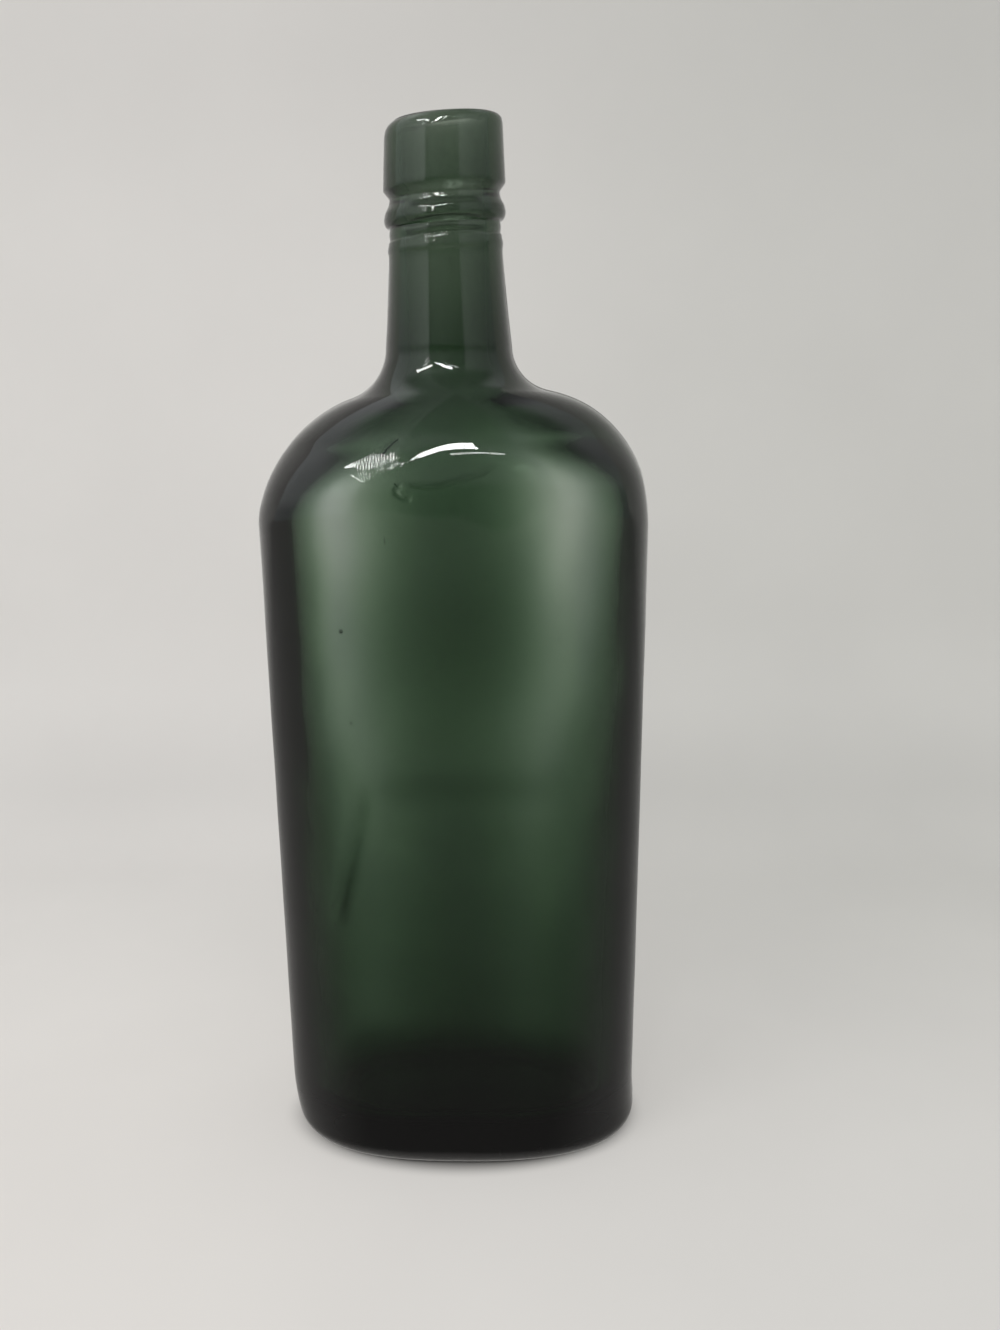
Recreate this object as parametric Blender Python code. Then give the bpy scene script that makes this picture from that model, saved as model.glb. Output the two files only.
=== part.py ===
"""Mould-blown whisky bottle in dark green glass: an oval flask body and a lip put on by hand.

Lengths are in metres, with +Z up. The origin is on the table, under the middle of the base. The broad
faces of the flask look along -Y (front) and +Y (back), and its narrow sides along -X and +X.

The body is one loft of oval rings. They start under the base at the push-up, climb the outside to the
sheared end of the neck, turn over it, and go down the inside to the floor. Two outlines drive them: the
half width, as seen from the front, and the half depth, as seen from the side. The lip is a turned ring
that sits over the neck's end, a little crooked, as a tool in a hand leaves it.
"""

import math
from collections import namedtuple

import bmesh
import bpy
from mathutils import Matrix, Vector

# Outside of the body
BODY_WIDTH = 0.0896
BODY_DEPTH = 0.0550
FOOT_WIDTH = 0.0863
FOOT_DEPTH = 0.0534
WALL_TOP_HEIGHT = 0.1527
SIDE_SHOULDER_RADIUS = 0.0305
FACE_SHOULDER_RADIUS = 0.0320
SIDE_ROOT_RADIUS = 0.0111
FACE_ROOT_RADIUS = 0.0130

# Base
HEEL_RADIUS = 0.0048
BEARING_WIDTH = 0.0050
PUSH_UP_HEIGHT = 0.0036
FLOOR_HEIGHT = 0.0075
FLOOR_CROWN = 0.0022
FLOOR_CORNER_RADIUS = 0.0090

# Glass and bore: the blown wall is thickest down the narrow sides and along the middle of each face
SIDE_WALL = 0.0070
FACE_WALL = 0.0049
BORE_DIAMETER = 0.0184
NECK_ROOT_WALL = 0.0049
NECK_END_WALL = 0.0033
NECK_LENGTH = 0.0227

# Crookedness: the right shoulder stands higher than the left, the neck drifts to the left, and the lip slopes
SHOULDER_SLOPE = math.radians(2.6)
NECK_DRIFT = 0.0009
LIP_SLOPE = math.radians(3.8)

# Joint: the neck's end is stepped down to a spigot, and the lip's socket goes over it
SPIGOT_WALL = 0.0018
SPIGOT_HEIGHT = 0.0060
JOINT_GAP = 0.0003

# Lip, from below: a narrow band, a bead with a long slope, a waist and a tall collar with a sloping foot. Radii
# are beyond the neck's end, or inside it where named inset
BAND_HEIGHT = 0.0030
BAND_INSET = 0.0003
BEAD_PROUD = 0.0009
BEAD_FOOT_HEIGHT = 0.0019
BEAD_SLOPE_HEIGHT = 0.0040
WAIST_INSET = 0.0004
COLLAR_SLOPE_HEIGHT = 0.0023
COLLAR_HEIGHT = 0.0138
COLLAR_FOOT_PROUD = 0.0009
COLLAR_TOP_PROUD = 0.0004
RIM_RADIUS = 0.0021
MOUTH_EDGE_RADIUS = 0.0013
MOUTH_WIDENING = 0.0004

# How square each oval is: 2 is an ellipse, and more fills its corners
OUTSIDE_SQUARENESS = 2.5
CHAMBER_SQUARENESS = 5.0
ROUND_SQUARENESS = 2.0

# How many rings or points each stretch has
BODY_SEGMENTS = 72
LIP_SEGMENTS = 56
CORNER_STEPS = 4
WALL_STEPS = 3
SHOULDER_STEPS = 9
ROOT_STEPS = 5
BEAD_STEPS = 8
SLOPE_STEPS = 6
EDGE_STEPS = 4

# The neck's rings and how far it has narrowed at each, and where its slope starts, as shares of its length
NECK_RING_SHARES = (0.3, 0.55, 0.7, 0.85, 1.0)
NECK_TAPER_SHARES = (0.42, 0.66, 0.78, 0.9, 1.0)
NECK_SLOPE_SHARE = 0.55
# Where the shoulder's slope is full and where it starts to fade, as shares of its rise
SLOPE_FULL_SHARE = 0.25
SLOPE_FADE_SHARE = 0.6
# The rings of the push-up and of the floor's crown, as shares of their half sizes
DOME_RING_SHARES = (0.3, 0.6, 0.85)

# A shoulder turns no further than this. A straight slope takes up what its radii then leave
STEEPEST_TURN = math.radians(84)
SHARP_EDGE = math.radians(40)

# One ring of the body: half sizes, heights at its sides and faces, and how square it is
Ring = namedtuple("Ring", "half_width half_depth side_height face_height squareness")


def mix(start, end, share):
    return start + (end - start) * share


def ease(share):
    """A smooth step from 0 to 1."""
    share = min(max(share, 0), 1)
    return share * share * (3 - 2 * share)


def steps(count):
    """Even shares from just past 0 up to 1."""
    return [(index + 1) / count for index in range(count)]


# Outlines of the body

def shoulder_turn(span, shoulder_radius, root_radius):
    """How far the shoulder's arc turns in to cover span with the root's fillet, and the slope between them."""
    cosine = 1 - span / (shoulder_radius + root_radius)
    turn = math.acos(max(cosine, math.cos(STEEPEST_TURN)))
    covered = (shoulder_radius + root_radius) * (1 - math.cos(turn))
    return turn, (span - covered) / math.sin(turn)


def shoulder_rise(span, shoulder_radius, root_radius):
    """Height from the top of the upright wall to the root of the neck."""
    turn, slope = shoulder_turn(span, shoulder_radius, root_radius)
    return (shoulder_radius + root_radius) * math.sin(turn) + slope * math.cos(turn)


def shoulder_points(half, start, neck_half, shoulder_radius, root_radius):
    """(half size, height) points from the top of the wall, in over the shoulder, to the root of the neck."""
    turn, _ = shoulder_turn(half - neck_half, shoulder_radius, root_radius)
    root = start + shoulder_rise(half - neck_half, shoulder_radius, root_radius)
    arc = [
        (
            half - shoulder_radius * (1 - math.cos(turn * share)),
            start + shoulder_radius * math.sin(turn * share),
        )
        for share in steps(SHOULDER_STEPS)
    ]
    fillet = [
        (
            neck_half + root_radius * (1 - math.cos(turn * (1 - share))),
            root - root_radius * math.sin(turn * (1 - share)),
        )
        for share in steps(ROOT_STEPS)
    ]
    return arc + fillet


def upright_points(foot_half, foot_height, corner_radius, top_half, top_height):
    """Points round the corner at the foot, then up the wall, which leans out a little to its top."""
    corner = [
        (
            foot_half - corner_radius * (1 - math.sin(math.pi / 2 * share)),
            foot_height + corner_radius * (1 - math.cos(math.pi / 2 * share)),
        )
        for share in [0] + steps(CORNER_STEPS)
    ]
    wall = [
        (mix(foot_half, top_half, share), mix(foot_height + corner_radius, top_height, share))
        for share in steps(WALL_STEPS)
    ]
    return corner + wall


# Heights that the outlines share
NECK_ROOT_RADIUS = BORE_DIAMETER / 2 + NECK_ROOT_WALL
NECK_END_RADIUS = BORE_DIAMETER / 2 + NECK_END_WALL
SIDE_RISE = shoulder_rise(BODY_WIDTH / 2 - NECK_ROOT_RADIUS, SIDE_SHOULDER_RADIUS, SIDE_ROOT_RADIUS)
FACE_RISE = shoulder_rise(BODY_DEPTH / 2 - NECK_ROOT_RADIUS, FACE_SHOULDER_RADIUS, FACE_ROOT_RADIUS)
NECK_ROOT_HEIGHT = WALL_TOP_HEIGHT + SIDE_RISE
FACE_TOP_HEIGHT = NECK_ROOT_HEIGHT - FACE_RISE
SEAT_HEIGHT = NECK_ROOT_HEIGHT + NECK_LENGTH
NECK_SLOPE_HEIGHT = NECK_ROOT_HEIGHT + NECK_LENGTH * NECK_SLOPE_SHARE


def span_share(height, low, high):
    """How far a height has climbed from low to high, from 0 to 1."""
    return min(max((height - low) / (high - low), 0), 1)


def axis_frame(height):
    """The place of a level ring at a height on the crooked bottle, as a matrix.

    The axis is upright, and drifts to the left above the walls. The rings slope up to the right over the
    shoulder, and again at the neck's end, which was sheared off at a slant and so carries a slanting lip.
    """
    climb = span_share(height, WALL_TOP_HEIGHT, NECK_ROOT_HEIGHT)
    fade = ease((climb - SLOPE_FADE_SHARE) / (1 - SLOPE_FADE_SHARE))
    shoulder = ease(climb / SLOPE_FULL_SHARE) * (1 - fade)
    lip = ease(span_share(height, NECK_SLOPE_HEIGHT, SEAT_HEIGHT))
    drift = NECK_DRIFT * span_share(height, WALL_TOP_HEIGHT, SEAT_HEIGHT)
    place = Matrix.Translation((-drift, 0, height))
    place[2][0] = math.tan(SHOULDER_SLOPE) * shoulder + math.tan(LIP_SLOPE) * lip
    return place


# Rings of the body

def level_ring(half_width, half_depth, height, squareness):
    return Ring(half_width, half_depth, height, height, squareness)


def blown_rings(width_points, depth_points, squareness):
    """Rings from the two outlines. The ovals turn round as they climb the shoulder."""
    last = len(width_points) - 1
    first_shoulder = last - SHOULDER_STEPS - ROOT_STEPS
    rings = []
    for index, (width_point, depth_point) in enumerate(zip(width_points, depth_points)):
        share = ease((index - first_shoulder) / (last - first_shoulder))
        rings.append(
            Ring(
                width_point[0],
                depth_point[0],
                width_point[1],
                depth_point[1],
                mix(squareness, ROUND_SQUARENESS, share),
            )
        )
    return rings


def dome_rings(half_width, half_depth, edge_height, rise, squareness):
    """Rings of a shallow dome, from near its middle out to near its edge."""
    return [
        level_ring(half_width * share, half_depth * share, edge_height + rise * (1 - share**2), squareness)
        for share in DOME_RING_SHARES
    ]


def outside_rings():
    """From the push-up under the base to the root of the neck."""
    width_points = upright_points(FOOT_WIDTH / 2, 0, HEEL_RADIUS, BODY_WIDTH / 2, WALL_TOP_HEIGHT)
    width_points += shoulder_points(
        BODY_WIDTH / 2, WALL_TOP_HEIGHT, NECK_ROOT_RADIUS, SIDE_SHOULDER_RADIUS, SIDE_ROOT_RADIUS
    )
    depth_points = upright_points(FOOT_DEPTH / 2, 0, HEEL_RADIUS, BODY_DEPTH / 2, FACE_TOP_HEIGHT)
    depth_points += shoulder_points(
        BODY_DEPTH / 2, FACE_TOP_HEIGHT, NECK_ROOT_RADIUS, FACE_SHOULDER_RADIUS, FACE_ROOT_RADIUS
    )
    inset = HEEL_RADIUS + BEARING_WIDTH
    push_up_width = FOOT_WIDTH / 2 - inset
    push_up_depth = FOOT_DEPTH / 2 - inset
    push_up = dome_rings(push_up_width, push_up_depth, 0, PUSH_UP_HEIGHT, OUTSIDE_SQUARENESS)
    bearing = level_ring(push_up_width, push_up_depth, 0, OUTSIDE_SQUARENESS)
    return push_up + [bearing] + blown_rings(width_points, depth_points, OUTSIDE_SQUARENESS)


def neck_rings():
    """Up the neck to the seat, in to the spigot, over its sheared end, and down the bore to the root."""
    heights = [mix(NECK_ROOT_HEIGHT, SEAT_HEIGHT, share) for share in NECK_RING_SHARES]
    radii = [mix(NECK_ROOT_RADIUS, NECK_END_RADIUS, share) for share in NECK_TAPER_SHARES]
    spigot_radius = BORE_DIAMETER / 2 + SPIGOT_WALL
    spigot_top = SEAT_HEIGHT + SPIGOT_HEIGHT
    outer = list(zip(radii, heights)) + [(spigot_radius, SEAT_HEIGHT), (spigot_radius, spigot_top)]
    bore = [(BORE_DIAMETER / 2, height) for height in [spigot_top] + heights[::-1]]
    return [level_ring(radius, radius, height, ROUND_SQUARENESS) for radius, height in outer + bore]


def chamber_rings():
    """From the root of the bore down the inside of the walls to the floor's crown."""
    foot_width = FOOT_WIDTH / 2 - SIDE_WALL
    foot_depth = FOOT_DEPTH / 2 - FACE_WALL
    width = BODY_WIDTH / 2 - SIDE_WALL
    depth = BODY_DEPTH / 2 - FACE_WALL
    width_points = upright_points(foot_width, FLOOR_HEIGHT, FLOOR_CORNER_RADIUS, width, WALL_TOP_HEIGHT)
    width_points += shoulder_points(
        width,
        WALL_TOP_HEIGHT,
        BORE_DIAMETER / 2,
        SIDE_SHOULDER_RADIUS - SIDE_WALL,
        SIDE_ROOT_RADIUS + NECK_ROOT_WALL,
    )
    depth_points = upright_points(foot_depth, FLOOR_HEIGHT, FLOOR_CORNER_RADIUS, depth, FACE_TOP_HEIGHT)
    depth_points += shoulder_points(
        depth,
        FACE_TOP_HEIGHT,
        BORE_DIAMETER / 2,
        FACE_SHOULDER_RADIUS - FACE_WALL,
        FACE_ROOT_RADIUS + NECK_ROOT_WALL,
    )
    crown = dome_rings(
        foot_width - FLOOR_CORNER_RADIUS,
        foot_depth - FLOOR_CORNER_RADIUS,
        FLOOR_HEIGHT,
        FLOOR_CROWN,
        CHAMBER_SQUARENESS,
    )
    return blown_rings(width_points, depth_points, CHAMBER_SQUARENESS)[::-1] + crown[::-1]


# Meshes

def ring_points(ring):
    """The ring's points in space, anticlockwise from +X when seen from above."""
    points = []
    for index in range(BODY_SEGMENTS):
        turn = 2 * math.pi * index / BODY_SEGMENTS
        cosine, sine = math.cos(turn), math.sin(turn)
        reach = (abs(cosine) ** ring.squareness + abs(sine) ** ring.squareness) ** (-1 / ring.squareness)
        flat = Vector((ring.half_width * reach * cosine, ring.half_depth * reach * sine, 0))
        height = mix(ring.side_height, ring.face_height, sine * sine)
        points.append(axis_frame(height) @ flat)
    return points


def loft(rings, first_height, last_height, name):
    """A closed mesh through the rings, shut at each end by a fan to a point on the axis."""
    shape = bmesh.new()
    loops = [[shape.verts.new(point) for point in ring_points(ring)] for ring in rings]
    first = shape.verts.new((0, 0, first_height))
    last = shape.verts.new((0, 0, last_height))
    for index in range(BODY_SEGMENTS):
        after = (index + 1) % BODY_SEGMENTS
        shape.faces.new((first, loops[0][index], loops[0][after]))
        shape.faces.new((last, loops[-1][after], loops[-1][index]))
        for lower, upper in zip(loops, loops[1:]):
            shape.faces.new((lower[after], lower[index], upper[index], upper[after]))
    bmesh.ops.recalc_face_normals(shape, faces=shape.faces)
    return finished_mesh(shape, name)


def turn_profile(profile, name):
    """A closed ring, turned about Z from a closed profile of (radius, height) points."""
    shape = bmesh.new()
    corners = [shape.verts.new((radius, 0, height)) for radius, height in profile]
    edges = [shape.edges.new((corners[index - 1], corners[index])) for index in range(len(corners))]
    bmesh.ops.spin(
        shape,
        geom=corners + edges,
        cent=(0, 0, 0),
        axis=(0, 0, 1),
        angle=2 * math.pi,
        steps=LIP_SEGMENTS,
        use_merge=True,
    )
    bmesh.ops.recalc_face_normals(shape, faces=shape.faces)
    return finished_mesh(shape, name)


def finished_mesh(shape, name):
    mesh = bpy.data.meshes.new(name)
    shape.to_mesh(mesh)
    shape.free()
    mesh.shade_smooth()
    mesh.set_sharp_from_angle(angle=SHARP_EDGE)
    return mesh


def arc(centre, across, along, start, end, count):
    """Points of an elliptical arc in a profile, with angles in degrees from the outward direction."""
    angles = [math.radians(mix(start, end, index / count)) for index in range(count + 1)]
    return [
        (centre[0] + across * math.cos(angle), centre[1] + along * math.sin(angle)) for angle in angles
    ]


def slope_points(low, high, count):
    """Points of an S-shaped slope in a profile, from just above its low end to just below its high end."""
    return [
        (mix(low[0], high[0], ease(share)), mix(low[1], high[1], share)) for share in steps(count)[:-1]
    ]


def lip_profile():
    """The lip's section, up its outside, over the rim, and down the mouth and the socket."""
    neck = NECK_END_RADIUS
    band = neck - BAND_INSET
    bead_foot = JOINT_GAP + BAND_HEIGHT
    bead_middle = bead_foot + BEAD_FOOT_HEIGHT
    waist = (neck - WAIST_INSET, bead_middle + BEAD_SLOPE_HEIGHT)
    collar_foot = (neck + COLLAR_FOOT_PROUD, waist[1] + COLLAR_SLOPE_HEIGHT)
    rim = collar_foot[1] + COLLAR_HEIGHT
    socket_radius = BORE_DIAMETER / 2 + SPIGOT_WALL + JOINT_GAP
    socket_top = SPIGOT_HEIGHT + JOINT_GAP
    bead = arc((band, bead_middle), BAND_INSET + BEAD_PROUD, BEAD_FOOT_HEIGHT, -90, 0, BEAD_STEPS)
    bead_slope = slope_points(bead[-1], waist, SLOPE_STEPS)
    collar_slope = slope_points(waist, collar_foot, SLOPE_STEPS)
    rim_edge = arc(
        (neck + COLLAR_TOP_PROUD - RIM_RADIUS, rim - RIM_RADIUS), RIM_RADIUS, RIM_RADIUS, 0, 90, EDGE_STEPS
    )
    mouth_radius = BORE_DIAMETER / 2 + MOUTH_WIDENING
    mouth_edge = arc(
        (mouth_radius + MOUTH_EDGE_RADIUS, rim - MOUTH_EDGE_RADIUS),
        MOUTH_EDGE_RADIUS,
        MOUTH_EDGE_RADIUS,
        90,
        180,
        EDGE_STEPS,
    )
    socket = [
        (BORE_DIAMETER / 2, socket_top),
        (socket_radius, socket_top),
        (socket_radius, JOINT_GAP),
    ]
    outside = [(band, JOINT_GAP)] + bead + bead_slope + [waist] + collar_slope + [collar_foot]
    return outside + rim_edge + mouth_edge + socket


# Pieces

def glass(name, colour):
    """Bottle glass of one gather."""
    material = bpy.data.materials.new(name)
    material.use_nodes = True
    shader = material.node_tree.nodes["Principled BSDF"]
    shader.inputs["Base Color"].default_value = (*colour, 1)
    shader.inputs["Metallic"].default_value = 0
    shader.inputs["Roughness"].default_value = 0.08
    shader.inputs["IOR"].default_value = 1.52
    return material


def add_piece(name, mesh, material):
    mesh.materials.append(material)
    bpy.context.scene.collection.objects.link(bpy.data.objects.new(name, mesh))


def build():
    for old in list(bpy.data.objects):
        bpy.data.objects.remove(old, do_unlink=True)
    body_mesh = loft(
        outside_rings() + neck_rings() + chamber_rings(),
        PUSH_UP_HEIGHT,
        FLOOR_HEIGHT + FLOOR_CROWN,
        "bottle_body",
    )
    lip_mesh = turn_profile(lip_profile(), "applied_lip")
    lip_mesh.transform(axis_frame(SEAT_HEIGHT))
    add_piece("bottle_body", body_mesh, glass("body_glass", (0.030, 0.060, 0.032)))
    add_piece("applied_lip", lip_mesh, glass("lip_glass", (0.045, 0.075, 0.042)))


build()
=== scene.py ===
# %% [markdown]
# # A mould-blown whisky bottle in dark green glass
#
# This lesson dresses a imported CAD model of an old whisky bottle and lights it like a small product
# photograph. The bottle is nothing but glass, so nearly everything that the eye reads comes from three
# things: how thick the glass is at each place, what stands behind it, and what it mirrors. The steps follow
# that order: the camera, the sheet that the bottle stands on, the light, the glass skin, its flaws, and last
# the finish of the glass itself.
#
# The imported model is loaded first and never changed. It fixes every size, and what is made here stays in it.

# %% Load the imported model
import math

import bmesh
import bpy
import numpy as np
from mathutils import Matrix, Vector
from mathutils.bvhtree import BVHTree


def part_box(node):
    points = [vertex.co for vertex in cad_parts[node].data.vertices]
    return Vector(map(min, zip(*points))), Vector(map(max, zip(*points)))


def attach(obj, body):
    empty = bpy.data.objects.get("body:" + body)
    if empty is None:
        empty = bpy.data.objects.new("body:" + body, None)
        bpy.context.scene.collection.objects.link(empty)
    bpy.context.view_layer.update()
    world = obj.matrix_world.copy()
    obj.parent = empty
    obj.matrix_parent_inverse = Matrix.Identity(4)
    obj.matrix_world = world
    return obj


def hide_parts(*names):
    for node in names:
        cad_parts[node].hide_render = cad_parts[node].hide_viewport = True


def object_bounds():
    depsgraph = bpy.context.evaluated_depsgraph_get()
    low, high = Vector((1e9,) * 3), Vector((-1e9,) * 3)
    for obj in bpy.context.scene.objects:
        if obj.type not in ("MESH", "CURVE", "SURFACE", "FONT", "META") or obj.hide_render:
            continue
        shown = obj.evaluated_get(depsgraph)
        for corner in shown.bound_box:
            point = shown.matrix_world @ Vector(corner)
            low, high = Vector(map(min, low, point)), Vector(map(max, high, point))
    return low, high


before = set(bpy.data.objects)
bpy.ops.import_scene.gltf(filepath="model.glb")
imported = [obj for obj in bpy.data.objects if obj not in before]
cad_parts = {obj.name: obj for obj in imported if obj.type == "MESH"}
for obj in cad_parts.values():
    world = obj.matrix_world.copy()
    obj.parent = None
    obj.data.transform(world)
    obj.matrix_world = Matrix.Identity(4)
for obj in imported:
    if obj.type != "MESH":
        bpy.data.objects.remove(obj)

cad_low, cad_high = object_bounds()
body_low, body_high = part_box("bottle_body")
lip_low, lip_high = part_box("applied_lip")
scene = bpy.context.scene
print("CAD box, mm:", [round((high - low) * 1000, 1) for low, high in zip(cad_low, cad_high)])
print("lip, mm up the bottle:", [round(end.z * 1000, 1) for end in (lip_low, lip_high)])

# %% [markdown]
# ## The camera
#
# The photograph was taken by hand from close by, a little to the right of the bottle and looking down by
# about fourteen degrees. Such a view has a strong perspective: upright edges draw together towards the
# bottom of the picture. The camera could be aimed with a Track To constraint, but its place, its tilt, its
# pan and the slight roll of the hand are all known here, so its matrix is built from them.

# %% Camera
IMAGE_WIDTH = 1000
IMAGE_HEIGHT = 1330
FOCAL_LENGTH_PIXELS = 1280
SENSOR_SIZE = 36
NEAREST_SEEN = 0.01
CAMERA_RIGHT = 0.0190
CAMERA_DISTANCE = 0.2962
CAMERA_HEIGHT = 0.1924
CAMERA_PITCH = math.radians(13.92)
CAMERA_PAN = math.radians(1.68)
CAMERA_ROLL = math.radians(-0.52)


def camera_axes():
    """Right, up and forward of the camera, as unit vectors."""
    forward = Vector((
        -math.sin(CAMERA_PAN) * math.cos(CAMERA_PITCH),
        math.cos(CAMERA_PAN) * math.cos(CAMERA_PITCH),
        -math.sin(CAMERA_PITCH),
    ))
    level = Vector((math.cos(CAMERA_PAN), math.sin(CAMERA_PAN), 0))
    right = level * math.cos(CAMERA_ROLL) + level.cross(forward) * math.sin(CAMERA_ROLL)
    return right, right.cross(forward), forward


camera_right, camera_up, camera_forward = camera_axes()
camera_data = bpy.data.cameras.new("photo_camera")
camera_data.sensor_width = SENSOR_SIZE
camera_data.lens = SENSOR_SIZE * FOCAL_LENGTH_PIXELS / IMAGE_HEIGHT
camera_data.clip_start = NEAREST_SEEN
camera = bpy.data.objects.new("photo_camera", camera_data)
camera.matrix_world = Matrix((
    (camera_right.x, camera_up.x, -camera_forward.x, CAMERA_RIGHT),
    (camera_right.y, camera_up.y, -camera_forward.y, -CAMERA_DISTANCE),
    (camera_right.z, camera_up.z, -camera_forward.z, CAMERA_HEIGHT),
    (0, 0, 0, 1),
))
scene.collection.objects.link(camera)
scene.camera = camera
print("lens, mm:", round(camera_data.lens, 2))


def ray_through(pixel):
    """The camera's place and the direction in which it sees a pixel of the photograph."""
    across = (pixel[0] - IMAGE_WIDTH / 2) / FOCAL_LENGTH_PIXELS
    down = (pixel[1] - IMAGE_HEIGHT / 2) / FOCAL_LENGTH_PIXELS
    direction = camera_forward + camera_right * across - camera_up * down
    return camera.matrix_world.translation.copy(), direction.normalized()


# %% [markdown]
# ## The sheet
#
# The bottle stands on a pale sheet that runs back a hand's length, turns up in a loose bend and goes on as
# the backdrop. It is one swept profile, so a few rows of points are enough, and a gentle bend hides the line
# between floor and wall. A curve with an extrusion would give the same form, but a mesh shows its rows.

# %% Sheet mesh
SHEET_HALF_WIDTH = 1.4
SHEET_FRONT = -1.2
SHEET_BEND_START = 0.150
SHEET_BEND_RADIUS = 0.085
SHEET_TOP = 0.55
SHEET_DROP = 0.0001
BEND_STEPS = 24


def sheet_profile():
    """(y, z) points from the front edge, round the bend, to the top."""
    turns = [math.pi / 2 * step / BEND_STEPS for step in range(BEND_STEPS + 1)]
    bend = [
        (SHEET_BEND_START + SHEET_BEND_RADIUS * math.sin(turn), SHEET_BEND_RADIUS * (1 - math.cos(turn)))
        for turn in turns
    ]
    return [(SHEET_FRONT, 0)] + bend + [(SHEET_BEND_START + SHEET_BEND_RADIUS, SHEET_TOP)]


def make_sheet():
    shape = bmesh.new()
    rows = [
        [shape.verts.new((side * SHEET_HALF_WIDTH, y, z - SHEET_DROP)) for side in (-1, 1)]
        for y, z in sheet_profile()
    ]
    for lower, upper in zip(rows, rows[1:]):
        shape.faces.new((lower[0], lower[1], upper[1], upper[0]))
    mesh = bpy.data.meshes.new("sheet")
    shape.to_mesh(mesh)
    shape.free()
    mesh.shade_smooth()
    sheet = bpy.data.objects.new("sheet", mesh)
    scene.collection.objects.link(sheet)
    return sheet


sheet = make_sheet()
print("sheet points:", len(sheet.data.vertices))

# %% [markdown]
# ## Helpers for nodes
#
# A material is easier to read when each step is one call. The helpers below add a node, fill its inputs with
# plain values or with other nodes' outputs, and hand back its result. Every material of this file uses them.

# %% Node helpers
NOISE_SPAN = (0.3, 0.7)
PLAIN_WHITE = (1, 1, 1, 1)


def add_node(tree, kind, given=None, **settings):
    """Adds a node to a tree. given maps its inputs to plain values or to other nodes' outputs."""
    node = tree.nodes.new(kind)
    for name, setting in settings.items():
        setattr(node, name, setting)
    for name, value in (given or {}).items():
        if isinstance(value, bpy.types.NodeSocket):
            tree.links.new(value, node.inputs[name])
        else:
            node.inputs[name].default_value = value
    return node


def maths(tree, operation, first, *others):
    """Numbers joined, one after the other, by an operation such as ADD or MAXIMUM."""
    for other in others or (0,):
        first = add_node(tree, "ShaderNodeMath", {0: first, 1: other}, operation=operation).outputs["Value"]
    return first


def vector_maths(tree, operation, *values, result="Vector"):
    """One operation on vectors."""
    node = add_node(tree, "ShaderNodeVectorMath", dict(enumerate(values)), operation=operation)
    return node.outputs[result]


def eased(tree, value, span, ends=(0, 1), kind="SMOOTHSTEP"):
    """A smooth step of a value over a span, from one end to the other."""
    given = {"Value": value, "From Min": span[0], "From Max": span[1], "To Min": ends[0], "To Max": ends[1]}
    return add_node(tree, "ShaderNodeMapRange", given, interpolation_type=kind).outputs["Result"]


def mixed(tree, share, first, second, kind="FLOAT"):
    """Two numbers mixed by a share, or two colours where kind is RGBA."""
    given = {"Factor": share, "A": first, "B": second}
    return add_node(tree, "ShaderNodeMix", given, data_type=kind).outputs["Result"]


def noise(tree, place, scale, detail):
    """A smooth noise of the place, around a half."""
    given = {"Vector": place, "Scale": scale, "Detail": detail}
    return add_node(tree, "ShaderNodeTexNoise", given).outputs["Fac"]


def apart(tree, vector):
    """The three numbers of a vector."""
    parts = add_node(tree, "ShaderNodeSeparateXYZ", {"Vector": vector})
    return [parts.outputs[axis] for axis in "XYZ"]


# %% Helpers for groups and materials


def group_with(name, inputs, outputs):
    """A node group with named sockets, and its input node. inputs and outputs map names to socket kinds."""
    tree = bpy.data.node_groups.new(name, "ShaderNodeTree")
    for sockets, side in ((inputs, "INPUT"), (outputs, "OUTPUT")):
        for socket, kind in sockets.items():
            tree.interface.new_socket(socket, in_out=side, socket_type="NodeSocket" + kind)
    return tree, tree.nodes.new("NodeGroupInput")


def new_material(name):
    """A material with an empty tree, and the tree."""
    material = bpy.data.materials.new(name)
    material.use_nodes = True
    material.node_tree.nodes.clear()
    return material, material.node_tree


# %% [markdown]
# ## The colour of the sheet, with painted light and shade
#
# The sheet drifts from a warm pale grey on the left to a darker grey on the right, and grows paler towards
# the front: this is painted light, paler where more light falls, on the left and on the floor. In the bend and
# at the top it is a little darker, which is painted shade. A painted picture could hold that, but four
# colours, two smooth steps and a ramp do it at any size. A weak noise keeps it from looking like paint.

# %% Sheet colour
# Painted light: the four colours run paler to the left and onto the floor, where more light falls.
WALL_LEFT = (0.688, 0.671, 0.647, 1)
WALL_RIGHT = (0.596, 0.590, 0.563, 1)
FLOOR_LEFT = (0.753, 0.728, 0.698, 1)
FLOOR_RIGHT = (0.682, 0.669, 0.643, 1)
SHEET_SPAN = (-0.12, 0.13)
FLOOR_SPAN = (0.17, -0.05)
MOTTLE_SCALE = 7
MOTTLE_DETAIL = 4
SHEET_MOTTLE = (0.97, 1.03)
SHADE_HEIGHT = 0.33
# Share of that height, and the grey of the painted shade there.
SHADE_STOPS = ((0.0, 1.0), (0.055, 0.95), (0.16, 1.0), (0.60, 0.99), (1.0, 0.90))


def height_shade(tree, height):
    """Painted shade by height up the sheet: darker in the bend and at the top."""
    ramp = add_node(tree, "ShaderNodeValToRGB", {"Fac": maths(tree, "DIVIDE", height, SHADE_HEIGHT)})
    ramp.color_ramp.interpolation = "EASE"
    stops = ramp.color_ramp.elements
    for position, _ in SHADE_STOPS[2:]:
        stops.new(position)
    for stop, (position, grey) in zip(stops, SHADE_STOPS):
        stop.position = position
        stop.color = (grey, grey, grey, 1)
    return ramp.outputs["Color"]


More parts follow.
